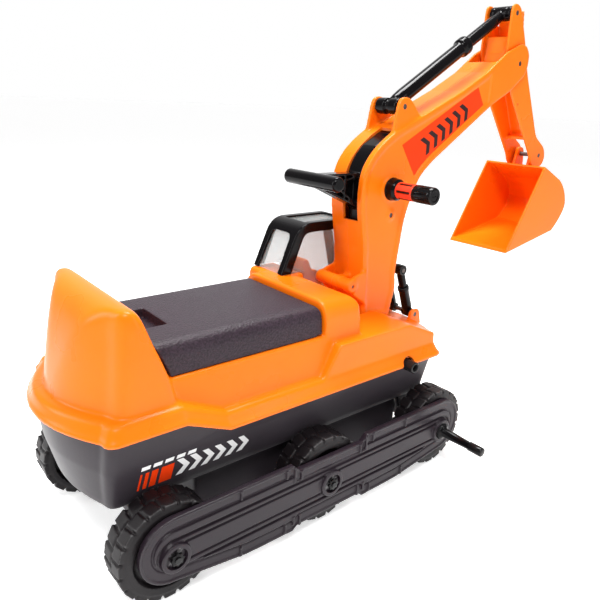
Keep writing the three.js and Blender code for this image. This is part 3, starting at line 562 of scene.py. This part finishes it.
def deck():
    side = rounded([(-176, 200), (-143, DECK_Z, 5), (6, DECK_Z, 10), (62, 224, 12),
                    (100, 212, 12), (142, 206), (142, 190), (-176, 190)])
    walls = loft([ring(z, -300, NOSE - 13, 119 - (z - 180) * 0.03, 0, 46, 14) for z in (180, 320)])
    return common(prism(side, -125, 125), walls)


def cab_plinth():
    side = rounded([(-143, 200), (-136, COWL_Z - 0.5, 8), (-86, COWL_Z - 0.5, 2), (-84, PLINTH_Z),
                    (58, PLINTH_Z, 8), (74, 200)])
    return prism(side, 38, 119)


def shell_skin():
    skin = skirt((0, 0), (5, 0), (7, 2.5), (19, 7.5), (22, 12))
    weld(skin, backrest(), seat_box(), cowl(), deck(), cab_plinth())
    below = [(REAR - 10, 100), (NOSE + 10, 100), (NOSE + 10, SKIRT_Z), (STEP_X[1], SKIRT_Z),
             (STEP_X[0], SKIRT_Z + STEP), (REAR - 10, SKIRT_Z + STEP)]
    cut(skin, prism(below, -140, 140))
    soften(skin, 2.2, 7)
    # hollow for the hull's rim, the storage bin, and the pocket for the foot of the boom
    rim_hollow = skirt((-6, 4), (3, 4), (8, 8))
    storage = block(-385, -169, -83, 83, RIM_Z - 49, RIM_Z + 30)
    pocket = block(-33, 62, -38, 38, 200, 300)
    cut(skin, rim_hollow, storage, pocket, bar(*BOOM_FOOT, AXLE_BORE, -60, 60),
        *[bar(*CROSS_TUBE, 13.5, y, y + 24) for y in (-140, 116)], bar(*CROSS_TUBE, 10, -140, 140))
    ears = []
    for y in (-64, 58):
        outline = rounded([(-154, 277), (-162, 284.5, 3), (-164, 288), (-164, 294),
                           (-166, 296.6, 2), (-172, 295.5, 3), (-174, 292, 3), (-172, 286, 3),
                           (-163, 262), (-160, 240), (-154, 240)])
        ears.append(cut(prism(outline, y, y + 6), bar(*SEAT_HINGE, HINGE_BORE, y - 1, y + 7)))
    for y in (-36, 31):
        outline = rounded([(96, 200), (104, 229, 7), (124, 229, 7), (132, 200)])
        ears.append(cut(bevel(prism(outline, y, y + 5), 1.2),
                        bar(*LIFT_FOOT, PIN_BORE, y - 1, y + 6)))
    weld(skin, *ears)
    return stands_for(shade(skin, 40), "shell", ORANGE)


# ------------------------------------------------------------------ hull
HULL_FLOOR = 112.0


def hull_skin():
    levels = [
        (HULL_FLOOR, -492, 92, 96, 17, 26, 0),
        (HULL_FLOOR + 3, -497, 97, 100, 17, 26, 0),
        (HULL_FLOOR + 10, -499, 99, 102.5, 18, 27, 0),
        (168, -511, 112, 112, 26, 38, 0),
        (SKIRT_Z + 5.5, -517, 122, 119.5, 34, 46, STEP),
    ]
    skin = loft([ring(*level, 16, rise) for *level, rise in levels])
    parts = [block(-362, 20, -88, 88, box_mm("hull")[2], HULL_FLOOR + 5)]
    for x in AXLE_X:
        parts.append(bar(x, AXLE_Z, 11, -103, 103, 1.5))
        if x != AXLE_X[1]:
            web = [(x - 11, AXLE_Z), (x + 11, AXLE_Z), (x + 24, HULL_FLOOR + 3),
                   (x - 24, HULL_FLOOR + 3)]
            parts += [prism(web, y, y + 8) for y in (-76, 68)]
    weld(skin, *parts)
    soften(skin, 2.5, 5)
    cut(skin, bar(*CROSS_TUBE, 9.4, -130, 130),
        *[bar(x, AXLE_Z, AXLE_BORE, -110, 110) for x in AXLE_X])
    return stands_for(shade(skin, 40), "hull", CHARCOAL)


# ------------------------------------------------------------------ seat
def seat_skin():
    hw, top, rim = SEAT_HW, SEAT_Z, RIM_Z

    def section(d):
        half = [(hw - 3 - d, top - d, 22 - d), (hw - d, rim + 0.3)]
        return rounded([(-y, *rest) for y, *rest in reversed(half)] + half, 12)

    side = rounded([(-389.5, rim - 10), (SEAT_FRONT, rim - 10), (SEAT_FRONT, top, 10),
                    (-411, top, 5)], 10)
    skin = common(prism(section(0), -420, -150, "x"), prism(side, -100, 100))
    inside = [(-386, rim - 11), (SEAT_FRONT - 4, rim - 11), (SEAT_FRONT - 4, top - 4),
              (-404, top - 4)]
    hollow = common(prism(section(4), -420, -150, "x"), prism(inside, -100, 100))
    foot = block(-386, SEAT_FRONT - 4, -hw + 4.2, hw - 4.2, rim - 2, rim + 4)
    front = block(-170, -150, -100, 100, rim - 9, rim + 2.5)
    cut(skin, hollow, foot, block(-420, -366, -34, 34, top - 14, top + 5), front,
        *[block(-167, -158, y, y + 8, 240, top - 4) for y in (-65, 57)])
    ribs = [block(-179, SEAT_FRONT - 3, y, y + 6, 284, top - 2) for y in (-74, 68)]
    # the finger slot is a pan with a floor and walls of its own
    pan = cut(block(-398, -363, -37, 37, top - 17, top - 2),
              block(-420, -366, -34, 34, top - 14, top))
    weld(skin, pan, *ribs)
    cut(skin, bar(*SEAT_HINGE, HINGE_BORE, -80, 80))
    soften(skin, 1.5, 3, 0.6)
    return stands_for(shade(skin, 60), "seat_lid", SEAT, "seat_skin")


shell_skin()
hull_skin()
seat_skin()

# ------------------------------------------------------------------ boom
BOOM_HW = box_mm("boom_left")[4] - 5  # the barrel at the foot stands 5 mm proud of the flank
PANEL_RIM = 9.5  # width of the raised rim round each flank's sunk panel
PANEL_FACE = BOOM_HW - 2.0
BARREL = (-50, 299)
FLANK_SCREW = (178, 562)
FLANK_END = 262


def bezier(*controls, steps=10):
    """Points along a quadratic or cubic curve, without its first point."""
    out = []
    for k in range(1, steps + 1):
        t = k / steps
        points = [Vector(c) for c in controls]
        while len(points) > 1:
            points = [a.lerp(b, t) for a, b in zip(points, points[1:])]
        out.append(tuple(points[0]))
    return out


def boom_line():
    """The boom's side outline, from the foot up the back, over the knee to the tip and back along
    the front."""
    return [
        (-14, 205), (-20, 240), (-28, 356),
        *bezier((-28, 356), (-34, 392), (-44, 425), (-39, 462), steps=12),
        *bezier((-39, 462), (-34, 492), (-8, 515), (30, 535), steps=14),
        (84, 557), (176, 597), (240, 630), (290, 665), (326, 680),
        *bezier((326, 680), (348, 686), (358, 664)),
        *bezier((358, 664), (362, 645), (350, 628)),
        (314, 602), (265, 578), (128, 492),
        *bezier((128, 492), (100, 474), (88, 458)),
        *bezier((88, 458), (66, 420), (60, 382)),
        (52, 308), (55, 278), (44, 230), (36, 205),
    ]


def flank_line():
    """The boom's outline from above the foot as far as the root of the fork."""
    line = boom_line()
    top = next(i for i, p in enumerate(line) if p[0] > FLANK_END)
    low = max(i for i, p in enumerate(line) if p[0] > FLANK_END)

    def on_edge(i, j):
        t = (FLANK_END - line[i][0]) / (line[j][0] - line[i][0])
        return (FLANK_END, line[i][1] + t * (line[j][1] - line[i][1]))

    ends = [on_edge(top - 1, top), on_edge(low, low + 1)]
    return [p for p in line[:top] + ends + line[low + 1:] if p[1] > 226]


def inset(line, d):
    """The outline moved in by d on every side; the outline runs clockwise in x, z."""
    points = [Vector(p) for p in line]
    n = len(points)
    out = []
    for i, here in enumerate(points):
        u = (here - points[i - 1]).normalized()
        v = (points[(i + 1) % n] - here).normalized()
        nu, nv = Vector((u.y, -u.x)), Vector((v.y, -v.x))
        m = (nu + nv).normalized()
        out.append(tuple(here + m * (d / max(0.5, m.dot(nu)))))
    return out


def boom_skin(side):
    """One half shell; side is -1 for the right, 1 for the left. It is drawn on the left and the
    right one is then mirrored."""
    right = side < 0
    line = boom_line()
    skin = prism(line, -4, BOOM_HW)
    cut(skin, prism(inset(flank_line(), PANEL_RIM), PANEL_FACE, BOOM_HW + 4))
    gusset = rounded([(-51, 312, 10), (-20, 320), (-17, 262), (-51, 286, 10)])
    ram_lug = rounded([(20, 524), (31, 582, 13), (53, 584, 13), (84, 553)])
    lift_ear = rounded([(49, 286), (51, 326), (86, 312, 9), (92, 296, 9)])
    weld(skin, prism(gusset, 31, 38 if right else 36), bar(*BARREL, 10.5, -4, 40, 1),
         prism([(-46, 291), (-20, 291), (-22, 307), (-46, 307)], -4, 7),
         prism(ram_lug, 24.5, 31), prism(lift_ear, -4, 7), bar(*LEVER, 8.5, 20, BOOM_HW - 0.4))
    if right:
        weld(skin, bar(*GRIP, 19, 20, BOOM_HW))
    fork_gap = block(268, 380, -1, 29.7, 560, 700)
    cut(skin, fork_gap)
    soften(skin, 1.9, 6, 0.7)
    beyond_seam = block(-100, 450, -20, 0.2, 150, 760)
    slot = [(-60, 398), (-28, 398), (-31, 455), (-23, 480), (-4, 503), (20, 519), (36, 529),
            (26, 556), (-60, 556)]
    hollow = cut(prism(inset(line, 5), -1, BOOM_HW - 5), block(266, 400, -60, 60, 560, 700))
    cut(skin, beyond_seam, prism(slot, -1, 25 if right else 7), hollow)
    holes = [bar(*BOOM_FOOT, AXLE_BORE, -1, 50), bar(*STICK, PIN_BORE, -1, 50),
             bar(*RAM_FOOT, PIN_BORE, 20, 50), bar(*LIFT_HEAD, PIN_BORE, -1, 12),
             bar(*BARREL, SCREW_BORE, -1, 60 if right else 36)]
    if right:
        holes += [bar(*LEVER, PIN_BORE, -1, 50), bar(*GRIP, GRIP_BORE, 0, 50),
                  bar(*FLANK_SCREW, SCREW_BORE, -1, 50)]
    cut(skin, *holes)
    if right:
        mirrored(skin)
    return stands_for(shade(skin, 50), "boom_right" if right else "boom_left", ORANGE)


# ------------------------------------------------------------------ stick and bucket
BUCKET_HW = box_mm("bucket")[4]


def strip(a, b, t, y0, y1):
    """A flat web of thickness t between two points."""
    a, b = Vector(a), Vector(b)
    way = (b - a).normalized()
    side = Vector((-way.y, way.x)) * t / 2
    return prism([tuple(a + side), tuple(a - side), tuple(b - side), tuple(b + side)], y0, y1)


def stick_skin():
    plate = rounded([(297, 744, 13), (296, 662, 14), (330, 598, 14), (424, 487, 8), (436, 465, 13),
                     (472, 463, 15), (483, 482, 11), (474, 502, 10), (437, 523, 12), (373, 634, 14),
                     (352, 682, 14), (321, 742, 13)])
    inner, outer = 23.3, 28
    skin = prism(plate, inner, outer)
    lines = [((346, 688), (371, 628)), ((370, 632), (434, 521)), ((306, 690), (346, 688)),
             ((309, 692), (306, 650)), ((336, 735), (345, 688))]
    weld(skin, prism(plate, -outer, -inner), *[strip(a, b, 4.5, -24, 24) for a, b in lines],
         strip(STICK, (306, 668), 6, -12, 12), bar(*STICK, 11, -outer, outer),
         bar(419, 520, 4, -24, 24))
    cut(skin, block(355, 375, -16, 16, 600, 640))
    soften(skin, 1.5, 3, 0.7)
    cut(skin, bar(*STICK, PIN_BORE, -40, 40), bar(*RAM_HEAD, 4.15, -40, 40),
        bar(*BUCKET, PIN_BORE, -40, 40), bar(354, 581, 2.6, -40, -20))
    return stands_for(shade(skin, 50), "stick", ORANGE)


def bucket_side(d):
    """The bucket's side outline, moved in by d, open towards the mouth when d is not zero."""
    line = [(422 + d * 0.4, 470 - d), (487 - d * 0.3, 442 - d)]
    line += bezier(line[-1], (519 - d, 422 - d), (525 - d, 392), steps=10)
    line += bezier(line[-1], (526 - d, 372 + d), (488 - d * 0.5, 339 + d), steps=12)
    line.append((328 - (8 if d else 0), 310 + d))
    if d:
        line.append((380, 470 - d))
    return line


def bucket_skin():
    wall = 4
    skin = prism(bucket_side(0), -BUCKET_HW, BUCKET_HW)
    cut(skin, prism(bucket_side(wall), -BUCKET_HW + wall, BUCKET_HW - wall))
    ear = rounded([(446, 492, 9), (449, 500, 9), (466, 500, 9), (470, 486, 7), (474, 447),
                   (440, 462)])
    weld(skin, cut(prism(ear, -19, 19), block(430, 480, -12, 12, 440, 510),
                   prism(bucket_side(2.5), -60, 60)))
    soften(skin, 1.3, 2, 0.6)
    cut(skin, bar(*BUCKET, PIN_BORE, -30, 30))
    return stands_for(shade(skin, 45), "bucket", ORANGE)


# ------------------------------------------------------------------ cab
CAB = box_mm("cab_frame")


def cab_line(d):
    """The cab's side outline, moved in by d and open below when d is not zero."""
    down = 1 if d else 0
    base, ledge = PLINTH_Z + 0.3 - down, COWL_Z + 0.3 - down
    return rounded([(-130 + d, ledge), (-95 + d, CAB[5] - d, 25), (25 - d, CAB[5] - d, 15),
                    (54 - d, base), (-83 + d, base), (-83 + d, ledge)], 10)


def cab_skin():
    y0, y1 = CAB[1], CAB[4]
    wall = 4
    skin = prism(cab_line(0), y0, y1)
    cut(skin, prism(cab_line(wall), y0 + wall, y1 - wall))
    top = CAB[5] - 16
    side = rounded([(-113, 300), (-84, top, 12), (15, top, 10), (43, 268), (-86, 268), (-86, 300)])
    rear = rounded([(53, 300), (56, top - 2, 9), (103, top - 2, 9), (106, 300)])
    screen = rounded([(54, 290, 6), (54, top - 2, 9), (105, top - 2, 9), (105, 290, 6)])
    cut(skin, prism(side, 30, 130),
        common(prism(rear, -140, -60, "x"), block(-140, -88, 0, 140, 300, top + 4)),
        prism(screen, 16, 70, "x"), block(-76, 8, 55, 104, top + 8, top + 30))
    soften(skin, 1.3, 4, 0.7)
    return stands_for(shade(skin, 50), "cab_frame", BLACK)


def cab_seat_skin():
    x0, y0, z0, x1, y1, z1 = box_mm("cab_seat")
    line = rounded([(x0, z0), (x0, z1, 5), (x0 + 11, z1, 5), (x0 + 20, z0 + 29, 4),
                    (x0 + 31, z0 + 29, 5), (x1, z0 + 7, 3), (x1, z0)])
    return stands_for(shade(bevel(prism(line, y0, y1), 2.0)), "cab_seat", ORANGE)


boom_skin(-1)
boom_skin(1)
stick_skin()
bucket_skin()
cab_skin()
cab_seat_skin()

# ------------------------------------------------------------------ control lever and twist grip
T_BAR = (-109, 462)


def lever_skin():
    y0, y1 = -23, 5
    blade = [(-27, 396), (-27.5, 415), (-34, 419), *bezier((-34, 419), (-38, 440), (-36, 462)),
             *bezier((-36, 462), (-32, 489), (-7, 511)), (27, 530), (35, 524), (9, 499),
             *bezier((9, 499), (-9, 478), (-9, 452)), (-8, 424), (10, 410), (22, 392)]
    root = prism([(-10, 396), (29, 391.5), (29, 416.5), (-8, 428)], y0, y1)
    a, b, c, d = (-20, 470), (-108, 470), (-106, 452), (-20, 415)
    ribs = [(a, b), (c, d), (a, c), (b, d), ((-62, 470), (-62, 433))]
    skin = prism(blade, y0, y1)
    weld(skin, root, prism([a, b, c, d], -11, -7), *[strip(p, q, 3.5, -20, 2) for p, q in ribs],
         bar(*LEVER, 13, y0, y1), bar(*T_BAR, 11, -57, 57, 3), bar(*T_BAR, 9.2, -57.8, -50, 1))
    soften(skin, 1.2, 2, 0.7)
    cut(skin, bar(*LEVER, PIN_BORE, -40, 40))
    return stands_for(shade(skin, 50), "control_lever", BLACK)


def grip_skins():
    def bars(count, first, reach, *rest):
        """Bars set evenly round the grip's axis, the first at an angle of its own."""
        turns = [first + 2 * math.pi * k / count for k in range(count)]
        return [bar(*around(*GRIP, reach, a), *rest) for a in turns]

    x, z = GRIP
    _, tip, _, _, root, _ = box_mm("grip_knob")
    knob = spun([(0, tip + 1.2), (7, tip + 1.2), (8, tip + 0.2), (10.5, tip), (12.4, tip + 0.6),
                 (13.3, tip + 2.2), (13.4, tip + 30), (12.9, tip + 35), (6, tip + 35),
                 (6, root - 6.7), (3, root - 6.7), (3, root), (0, root)], x, z, 64)
    cut(knob, *bars(10, 0, 14.3, 2.0, tip + 7, tip + 29, 1.6, 16),
        block(x - 4.5, x + 4.5, tip - 1, tip + 2.2, z - 0.7, z + 0.7))
    stands_for(shade(knob), "grip_knob", BLACK)

    _, y0, _, _, y1, _ = box_mm("grip_sleeve")
    sleeve = spun([(GRIP_BORE, y0), (12.4, y0), (13, y0 + 0.8), (13, y1 - 0.8), (12.4, y1),
                   (GRIP_BORE, y1)], x, z, 64)
    cut(sleeve, *bars(6, math.pi / 6, 13, 2.2, y0 + 3, y1 - 3, 1.5, 20))
    stands_for(shade(sleeve), "grip_sleeve", RED)
    for k, key in enumerate(bars(6, math.pi / 6, 12.0, 1.1, y0 + 4, y1 - 4, 0.8, 16)):
        trim(shade(key), f"grip_key_{k + 1}", "grip_sleeve", BLACK)

    _, y0, _, _, y1, _ = box_mm("grip_collar")
    collar = spun([(GRIP_BORE, y0), (13.6, y0), (14.6, y0 + 1), (15.6, y0 + 2.4), (16.6, y0 + 3.4),
                   (17, y0 + 9), (17.3, y1 - 3), (18, y1 - 2), (18, y1), (GRIP_BORE, y1)], x, z, 64)
    stands_for(shade(collar), "grip_collar", BLACK)


# ------------------------------------------------------------------ rams
def rod(a, b, t0, t1, profile, y=0.0, sides=40):
    """A solid of revolution about the line from a to b; profile gives (radius, distance from a)."""
    obj = spun([(0, t0), *profile, (0, t1)], 0, 0, sides)
    way = Vector((b[0] - a[0], 0, b[1] - a[1])).normalized()
    turn = way.to_track_quat("Y", "Z").to_matrix().to_4x4()
    obj.data.transform(Matrix.Translation(Vector((a[0], y, a[1])) * MM) @ turn)
    return obj


def stick_ram():
    span = (Vector(RAM_HEAD) - Vector(RAM_FOOT)).length
    tube = rod(RAM_FOOT, RAM_HEAD, 8, 202,
               [(9.5, 8), (11.2, 16), (12, 30), (12, 182), (13.4, 184.5), (15.2, 186), (15.4, 189),
                (15.4, 198), (14.6, 201), (13, 202)])
    weld(tube, bar(*RAM_FOOT, 12.4, -22, 22, 2))
    cut(tube, bar(*RAM_FOOT, 13.5, -4, 4))
    weld(tube, bar(*RAM_FOOT, 9, -5, 5))
    soften(tube, 1.2, 2, 0.8)
    cut(tube, rod(RAM_FOOT, RAM_HEAD, 60, 210, [(10.3, 60), (10.3, 210)]),
        bar(*RAM_FOOT, PIN_BORE, -30, 30))
    stands_for(shade(tube, 50), "stick_ram_cylinder", BLACK)

    shaft = rod(RAM_FOOT, RAM_HEAD, 120, span - 5,
                [(9, 120), (10, 121), (10, span - 30), (8.8, span - 22), (8.8, span - 5)])
    weld(shaft, bar(*RAM_HEAD, 12, -21, 21, 2))
    cut(shaft, spun([(10.6, -13), (12.6, -13), (12.6, -11.4), (10.6, -11.4)], *RAM_HEAD),
        spun([(10.6, 11.4), (12.6, 11.4), (12.6, 13), (10.6, 13)], *RAM_HEAD))
    soften(shaft, 1.1, 2, 0.8)
    cut(shaft, bar(*RAM_HEAD, 8, -30, 30))
    stands_for(shade(shaft, 50), "stick_ram_rod", BLACK)


def lift_rams():
    span = (Vector(LIFT_HEAD) - Vector(LIFT_FOOT)).length
    for hand, y in (("right", -18.5), ("left", 18.5)):
        profile = [(8, 3), (8.6, 8), (9, 14), (9, 46), (10, 48), (10, 53), (9.6, 54)]
        tube = rod(LIFT_FOOT, LIFT_HEAD, 3, 54, profile, y)
        weld(tube, bar(*LIFT_FOOT, 8, y - 9, y + 9, 1))
        cut(tube, rod(LIFT_FOOT, LIFT_HEAD, 14, 60, [(7.3, 14), (7.3, 60)], y),
            bar(*LIFT_FOOT, PIN_BORE, -40, 40))
        stands_for(shade(tube), f"lift_ram_cylinder_{hand}", BLACK)
        shaft = rod(LIFT_FOOT, LIFT_HEAD, 26, span - 2,
                    [(6.5, 26), (7, 27), (7, span - 12), (6.5, span - 2)], y)
        weld(shaft, bar(*LIFT_HEAD, 9, y - 8, y + 8, 1))
        cut(shaft, bar(*LIFT_HEAD, 5.5, -40, 40))
        stands_for(shade(shaft), f"lift_ram_rod_{hand}", BLACK)


# ------------------------------------------------------------------ running gear
WHEEL_R = box_mm("wheel_rear_right")[5] - AXLE_Z
WHEEL_IN, WHEEL_OUT = box_mm("wheel_rear_left")[1], box_mm("wheel_rear_left")[4]
LUGS = 20


def heap(*objs):
    """Puts objects into one mesh without working out how they cross. A voxel remesh unites them
    later, or they lie apart."""
    first = objs[0]
    merged = bmesh.new()
    for obj in objs:
        merged.from_mesh(obj.data)
    merged.to_mesh(first.data)
    merged.free()
    for obj in objs[1:]:
        bpy.data.objects.remove(obj)
    return first


def tread_block(angle, y0, y1):
    """One tread block, turned round the wheel by angle, leaning from y0 to y1."""
    w, slant = 8.0, 2.5
    base = prism([(-w, y0), (w, y0), (w + slant, y1), (-w + slant, y1)], 56, WHEEL_R - 0.7, "z")
    base.data.transform(Matrix.Rotation(angle, 4, "Y"))
    return base


def tyre():
    """One wheel at the origin, for the left side; its outer face looks to +Y."""
    middle, o = (WHEEL_IN + WHEEL_OUT) / 2, (WHEEL_OUT - WHEEL_IN) / 2
    core = spun([(AXLE_BORE, -o), (13, -o), (13, o - 14), (50, o - 14), (50, -o), (56, -o),
                 (60.5, -o + 2.5), (62.7, -o + 6), (62.7, o - 6), (60.5, o - 2.5), (56, o), (47, o),
                 (44, o - 9), (15, o - 9), (15, o), (AXLE_BORE, o)], 0, 0, 96)
    blocks = []
    for k in range(LUGS):
        a = 2 * math.pi * k / LUGS
        blocks += [tread_block(a, 1.2, o - 1.0), tread_block(a + math.pi / LUGS, -1.2, -o + 1.0)]
    body = heap(core, *blocks)
    soften(body, 1.5, 2, 0.45)
    cut(body, bar(0, 0, AXLE_BORE, -o - 5, o + 5))
    body.data.transform(Matrix.Translation((0, middle * MM, 0)))
    return shade(body, 45)


def wheels():
    first = tyre()
    for i, place in enumerate(("rear", "mid", "front")):
        for hand in ("left", "right"):
            wheel = copy_of(first)
            if hand == "right":
                mirrored(wheel)
            wheel.data.transform(Matrix.Translation(Vector((AXLE_X[i], 0, AXLE_Z)) * MM))
            stands_for(wheel, f"wheel_{place}_{hand}", TYRE)
    bpy.data.objects.remove(first)


COVER_IN = box_mm("track_cover_left")[1]
COVER_OUT = COVER_IN + 8.5


def cover_line(d):
    """The track cover's outline, moved in by d: two round ends and a step down beside the middle
    wheel."""
    r = 44 - d
    rear, mid, front = AXLE_X
    cz = AXLE_Z + 9
    top = cz + r

    def arc(x, a0, a1, steps=16):
        turns = [a0 + (a1 - a0) * k / steps for k in range(steps + 1)]
        return [(x + r * math.cos(t), cz + r * math.sin(t)) for t in turns]

    low = math.pi / 2
    return [(mid - 68, top), (mid - 58, top - 10), (mid + 58, top - 10), (mid + 68, top),
            *arc(front, low, -low + 0.15), (mid + 140, 16 + d), (mid + 66, 14.5 + d),
            (mid + 58, 21 + d), (mid - 58, 21 + d), (mid - 66, 14.5 + d), (mid - 140, 16 + d),
            *arc(rear, -low, -3 * low)]


def cover_band(outer, inner, y0, y1):
    return cut(prism(cover_line(outer), y0, y1), prism(cover_line(inner), y0 - 1, y1 + 1))


def oblong(r, y0, y1):
    """A straight bar with round ends from the rear hub to the front one."""
    ends = []
    for x, turn in ((AXLE_X[2], 0), (AXLE_X[0], math.pi)):
        ends += [around(x, AXLE_Z + 2, r, turn + math.pi * k / 16) for k in range(17)]
    return prism(ends, y0, y1)


def cover_skin():
    face = COVER_OUT
    mid = AXLE_X[1]
    body = prism(cover_line(0), COVER_IN, face)
    cut(body, cover_band(3.5, 14.5, face - 1.6, face + 1),
        cover_band(14.3, 18, face - 3.2, face + 1),
        cut(oblong(23.5, face - 3.2, face + 1), oblong(19.5, face - 4, face + 2)),
        cut(oblong(14.5, face - 2.6, face + 1), oblong(11.5, face - 4, face + 2)))
    adds = [bar(x, AXLE_Z, 19.5, WHEEL_OUT + 1.5, face + 4.5, 1.5) for x in AXLE_X]
    # short ribs across the upper and the lower run; each row is x, half width and two heights
    ribs = [(x, 1.6, (103, 115.5), (18.8, 31)) for x in (-336, -265, -105, -34)]
    ribs += [(x, 1.8, (93, 107), (21, 38)) for x in (mid - 55, mid + 55)]
    ribs += [(x, 1.8, (93, 115), (25, 38)) for x in (mid - 66, mid + 66)]
    for x, half, *heights in ribs:
        adds += [block(x - half, x + half, face - 3, face + 1.6, *run) for run in heights]
    body = heap(body, *adds)
    soften(body, 1.05, 2, 0.4)
    tools = [prism(cover_line(5), COVER_IN - 1, face - 4)]
    for x in AXLE_X:
        tools += [bar(x, AXLE_Z, 14, face - 0.5, face + 6),
                  bar(x, AXLE_Z, AXLE_BORE, COVER_IN - 5, face + 6)]
    cut(body, *tools)
    shade(body, 50)
    twin = mirrored(copy_of(body))
    stands_for(body, "track_cover_left", COVER)
    stands_for(twin, "track_cover_right", COVER)


def hub_cap(x, node):
    """A left hub cap with its star nut."""
    _, y0, _, _, y1, _ = box_mm(node)
    turns = [2 * math.pi * k / 48 for k in range(48)]
    star = [around(x, AXLE_Z, 8.1 + 0.8 * math.cos(8 * a), a) for a in turns]
    cap = prism(star, y0, y1 - 2.4)
    weld(cap, bar(x, AXLE_Z, 4.2, y0 + 1, y1, 0.8))
    cut(cap, bar(x, AXLE_Z, 5.15, y0 - 1, y0 + 3))
    return shade(bevel(cap, 0.5, 2))


def foot_peg():
    """The left foot peg, on the front axle."""
    _, y0, _, _, tip, _ = box_mm("foot_peg_left")
    profile = [(0, tip), (5.8, tip), (6.9, tip - 0.5), (7.5, tip - 1.8), (7.5, tip - 23.5),
               (6.9, tip - 24.6), (6.4, tip - 25.4), (6.8, tip - 40), (8, y0 + 8.6), (9.2, y0 + 7),
               (11.8, y0 + 6.2), (12.6, y0 + 5), (12.6, y0), (5.15, y0), (5.15, y0 + 10.2),
               (0, y0 + 10.2)]
    return shade(spun(profile, AXLE_X[2], AXLE_Z), 40)


def small_gear():
    """Hub caps, the foot pegs and the tube through the nose."""
    for hand in ("left", "right"):
        pieces = [(hub_cap(x, f"hub_cap_{place}_left"), f"hub_cap_{place}_{hand}")
                  for x, place in zip(AXLE_X, ("rear", "mid"))]
        pieces.append((foot_peg(), f"foot_peg_{hand}"))
        for piece, node in pieces:
            if hand == "right":
                mirrored(piece)
            stands_for(piece, node, BLACK)
    half = box_mm("cross_tube")[4]
    profile = [(6, -half), (8, -half), (9, -half + 1), (9, half - 1), (8, half), (6, half)]
    stands_for(shade(spun(profile, *CROSS_TUBE)), "cross_tube", BLACK)


# ------------------------------------------------------------------ labels
def lay_on(skin, corners, side):
    """A thin sheet pressed onto a skin's side face; corners are four x, z points in order."""
    lift, sunk, steps = 0.22, -0.8, 8
    tree = BVHTree.FromObject(skin, bpy.context.evaluated_depsgraph_get())
    a, b, c, d = [Vector(p) for p in corners]
    n = steps + 1
    points = []
    for depth in (lift, sunk):
        for i in range(n):
            for j in range(n):
                s, t = i / steps, j / steps
                p = a.lerp(b, s).lerp(d.lerp(c, s), t)
                start = Vector((p.x, side * 200, p.y)) * MM
                hit, normal, _, _ = tree.ray_cast(start, Vector((0, -side, 0)))
                points.append(hit / MM + normal * depth)
    faces = []
    for i in range(steps):
        for j in range(steps):
            k = i * n + j
            faces.append((k, k + n, k + n + 1, k + 1))
            faces.append((n * n + k, n * n + k + 1, n * n + k + n + 1, n * n + k + n))
    rim = [(i, 0) for i in range(steps)] + [(steps, j) for j in range(steps)]
    rim += [(i, steps) for i in range(steps, 0, -1)] + [(0, j) for j in range(steps, 0, -1)]
    for (i, j), (k, m) in zip(rim, rim[1:] + rim[:1]):
        p, q = i * n + j, k * n + m
        faces.append((p, q, n * n + q, n * n + p))
    return make("label", points, faces)


def slanted(x0, x1, z0, z1, lean):
    return [(x0, z0), (x1, z0), (x1 + lean, z1), (x0 + lean, z1)]


def chevron(skin, side, tail, z0, z1, stroke, reach):
    """A chevron that points forward, as two slanted bars that meet at mid height."""
    mid = (z0 + z1) / 2
    low, high = [(tail, z0), (tail + stroke, z0)], [(tail + stroke, z1), (tail, z1)]
    near, far = (tail + reach, mid), (tail + stroke + reach, mid)
    return [lay_on(skin, [*low, far, near], side), lay_on(skin, [near, far, *high], side)]


def hull_labels(skin):
    for side, hand in ((-1, "right"), (1, "left")):
        spans = [(-447, -444.6), (-440.4, -435.8), (-432.4, -424.2), (-420, -403.4)]
        bars = [lay_on(skin, slanted(x0, x1, 132, 155.4, 3.6), side) for x0, x1 in spans]
        trim(heap(*bars), f"hull_bars_{hand}", "hull", RED_LABEL)
        marks = [lay_on(skin, slanted(x, x + 11, 160.4, 165.6, 1.2), side)
                 for x in range(-443, -370, 15)]
        for k in range(6):
            marks += chevron(skin, side, -397 + 17.5 * k, 134, 158, 8.5, 10)
        trim(heap(*marks), f"hull_marks_{hand}", "hull", WHITE_LABEL)


def boom_labels():
    corners = [(41, 512.5), (76, 464.5), (242, 573), (219, 605)]
    high, low, far_low, far_high = [Vector(c) for c in corners]
    tail = high.lerp(low, 0.5)
    ahead, up = (far_high.lerp(far_low, 0.5) - tail).normalized(), high - low
    for side, hand in ((-1, "right"), (1, "left")):
        lo, hi = sorted((side * (PANEL_FACE - 0.6), side * (PANEL_FACE + 0.25)))
        label = common(prism(corners, lo, hi), prism(inset(flank_line(), 10.6), lo - 1, hi + 1))
        trim(label, f"boom_label_{hand}", f"boom_{hand}", RED_LABEL)
        lo, hi = sorted((side * PANEL_FACE, side * (PANEL_FACE + 0.45)))
        marks = []
        for k in range(6):
            foot = tail + ahead * (38 + 21 * k)
            for sign in (-1, 1):
                far = foot + up * 0.25 * sign
                arm = [far, far + ahead * 9, foot + ahead * 18, foot + ahead * 9]
                marks.append(prism([tuple(p) for p in arm], lo, hi))
        trim(heap(*marks), f"boom_marks_{hand}", f"boom_{hand}", BLACK_LABEL)


lever_skin()
grip_skins()
stick_ram()
lift_rams()
wheels()
cover_skin()
small_gear()
hull_labels(bpy.data.objects["hull_skin"])
boom_labels()


# ------------------------------------------------------------------ CAD nodes that show as they are
def finish_nodes():
    """Gives every CAD node its finish and takes the hard edge off the ones that show."""
    for name, obj in frame["nodes"].items():
        obj.data.materials.clear()
        fastener = name.endswith("_pin") or "_screw_" in name
        # pins and screws take the dark red-brown painted shade of their recesses
        obj.data.materials.append(PIN_SHADE_STEEL if fastener else FINISH[SLOT[name]])
        shade(obj, 32)


finish_nodes()
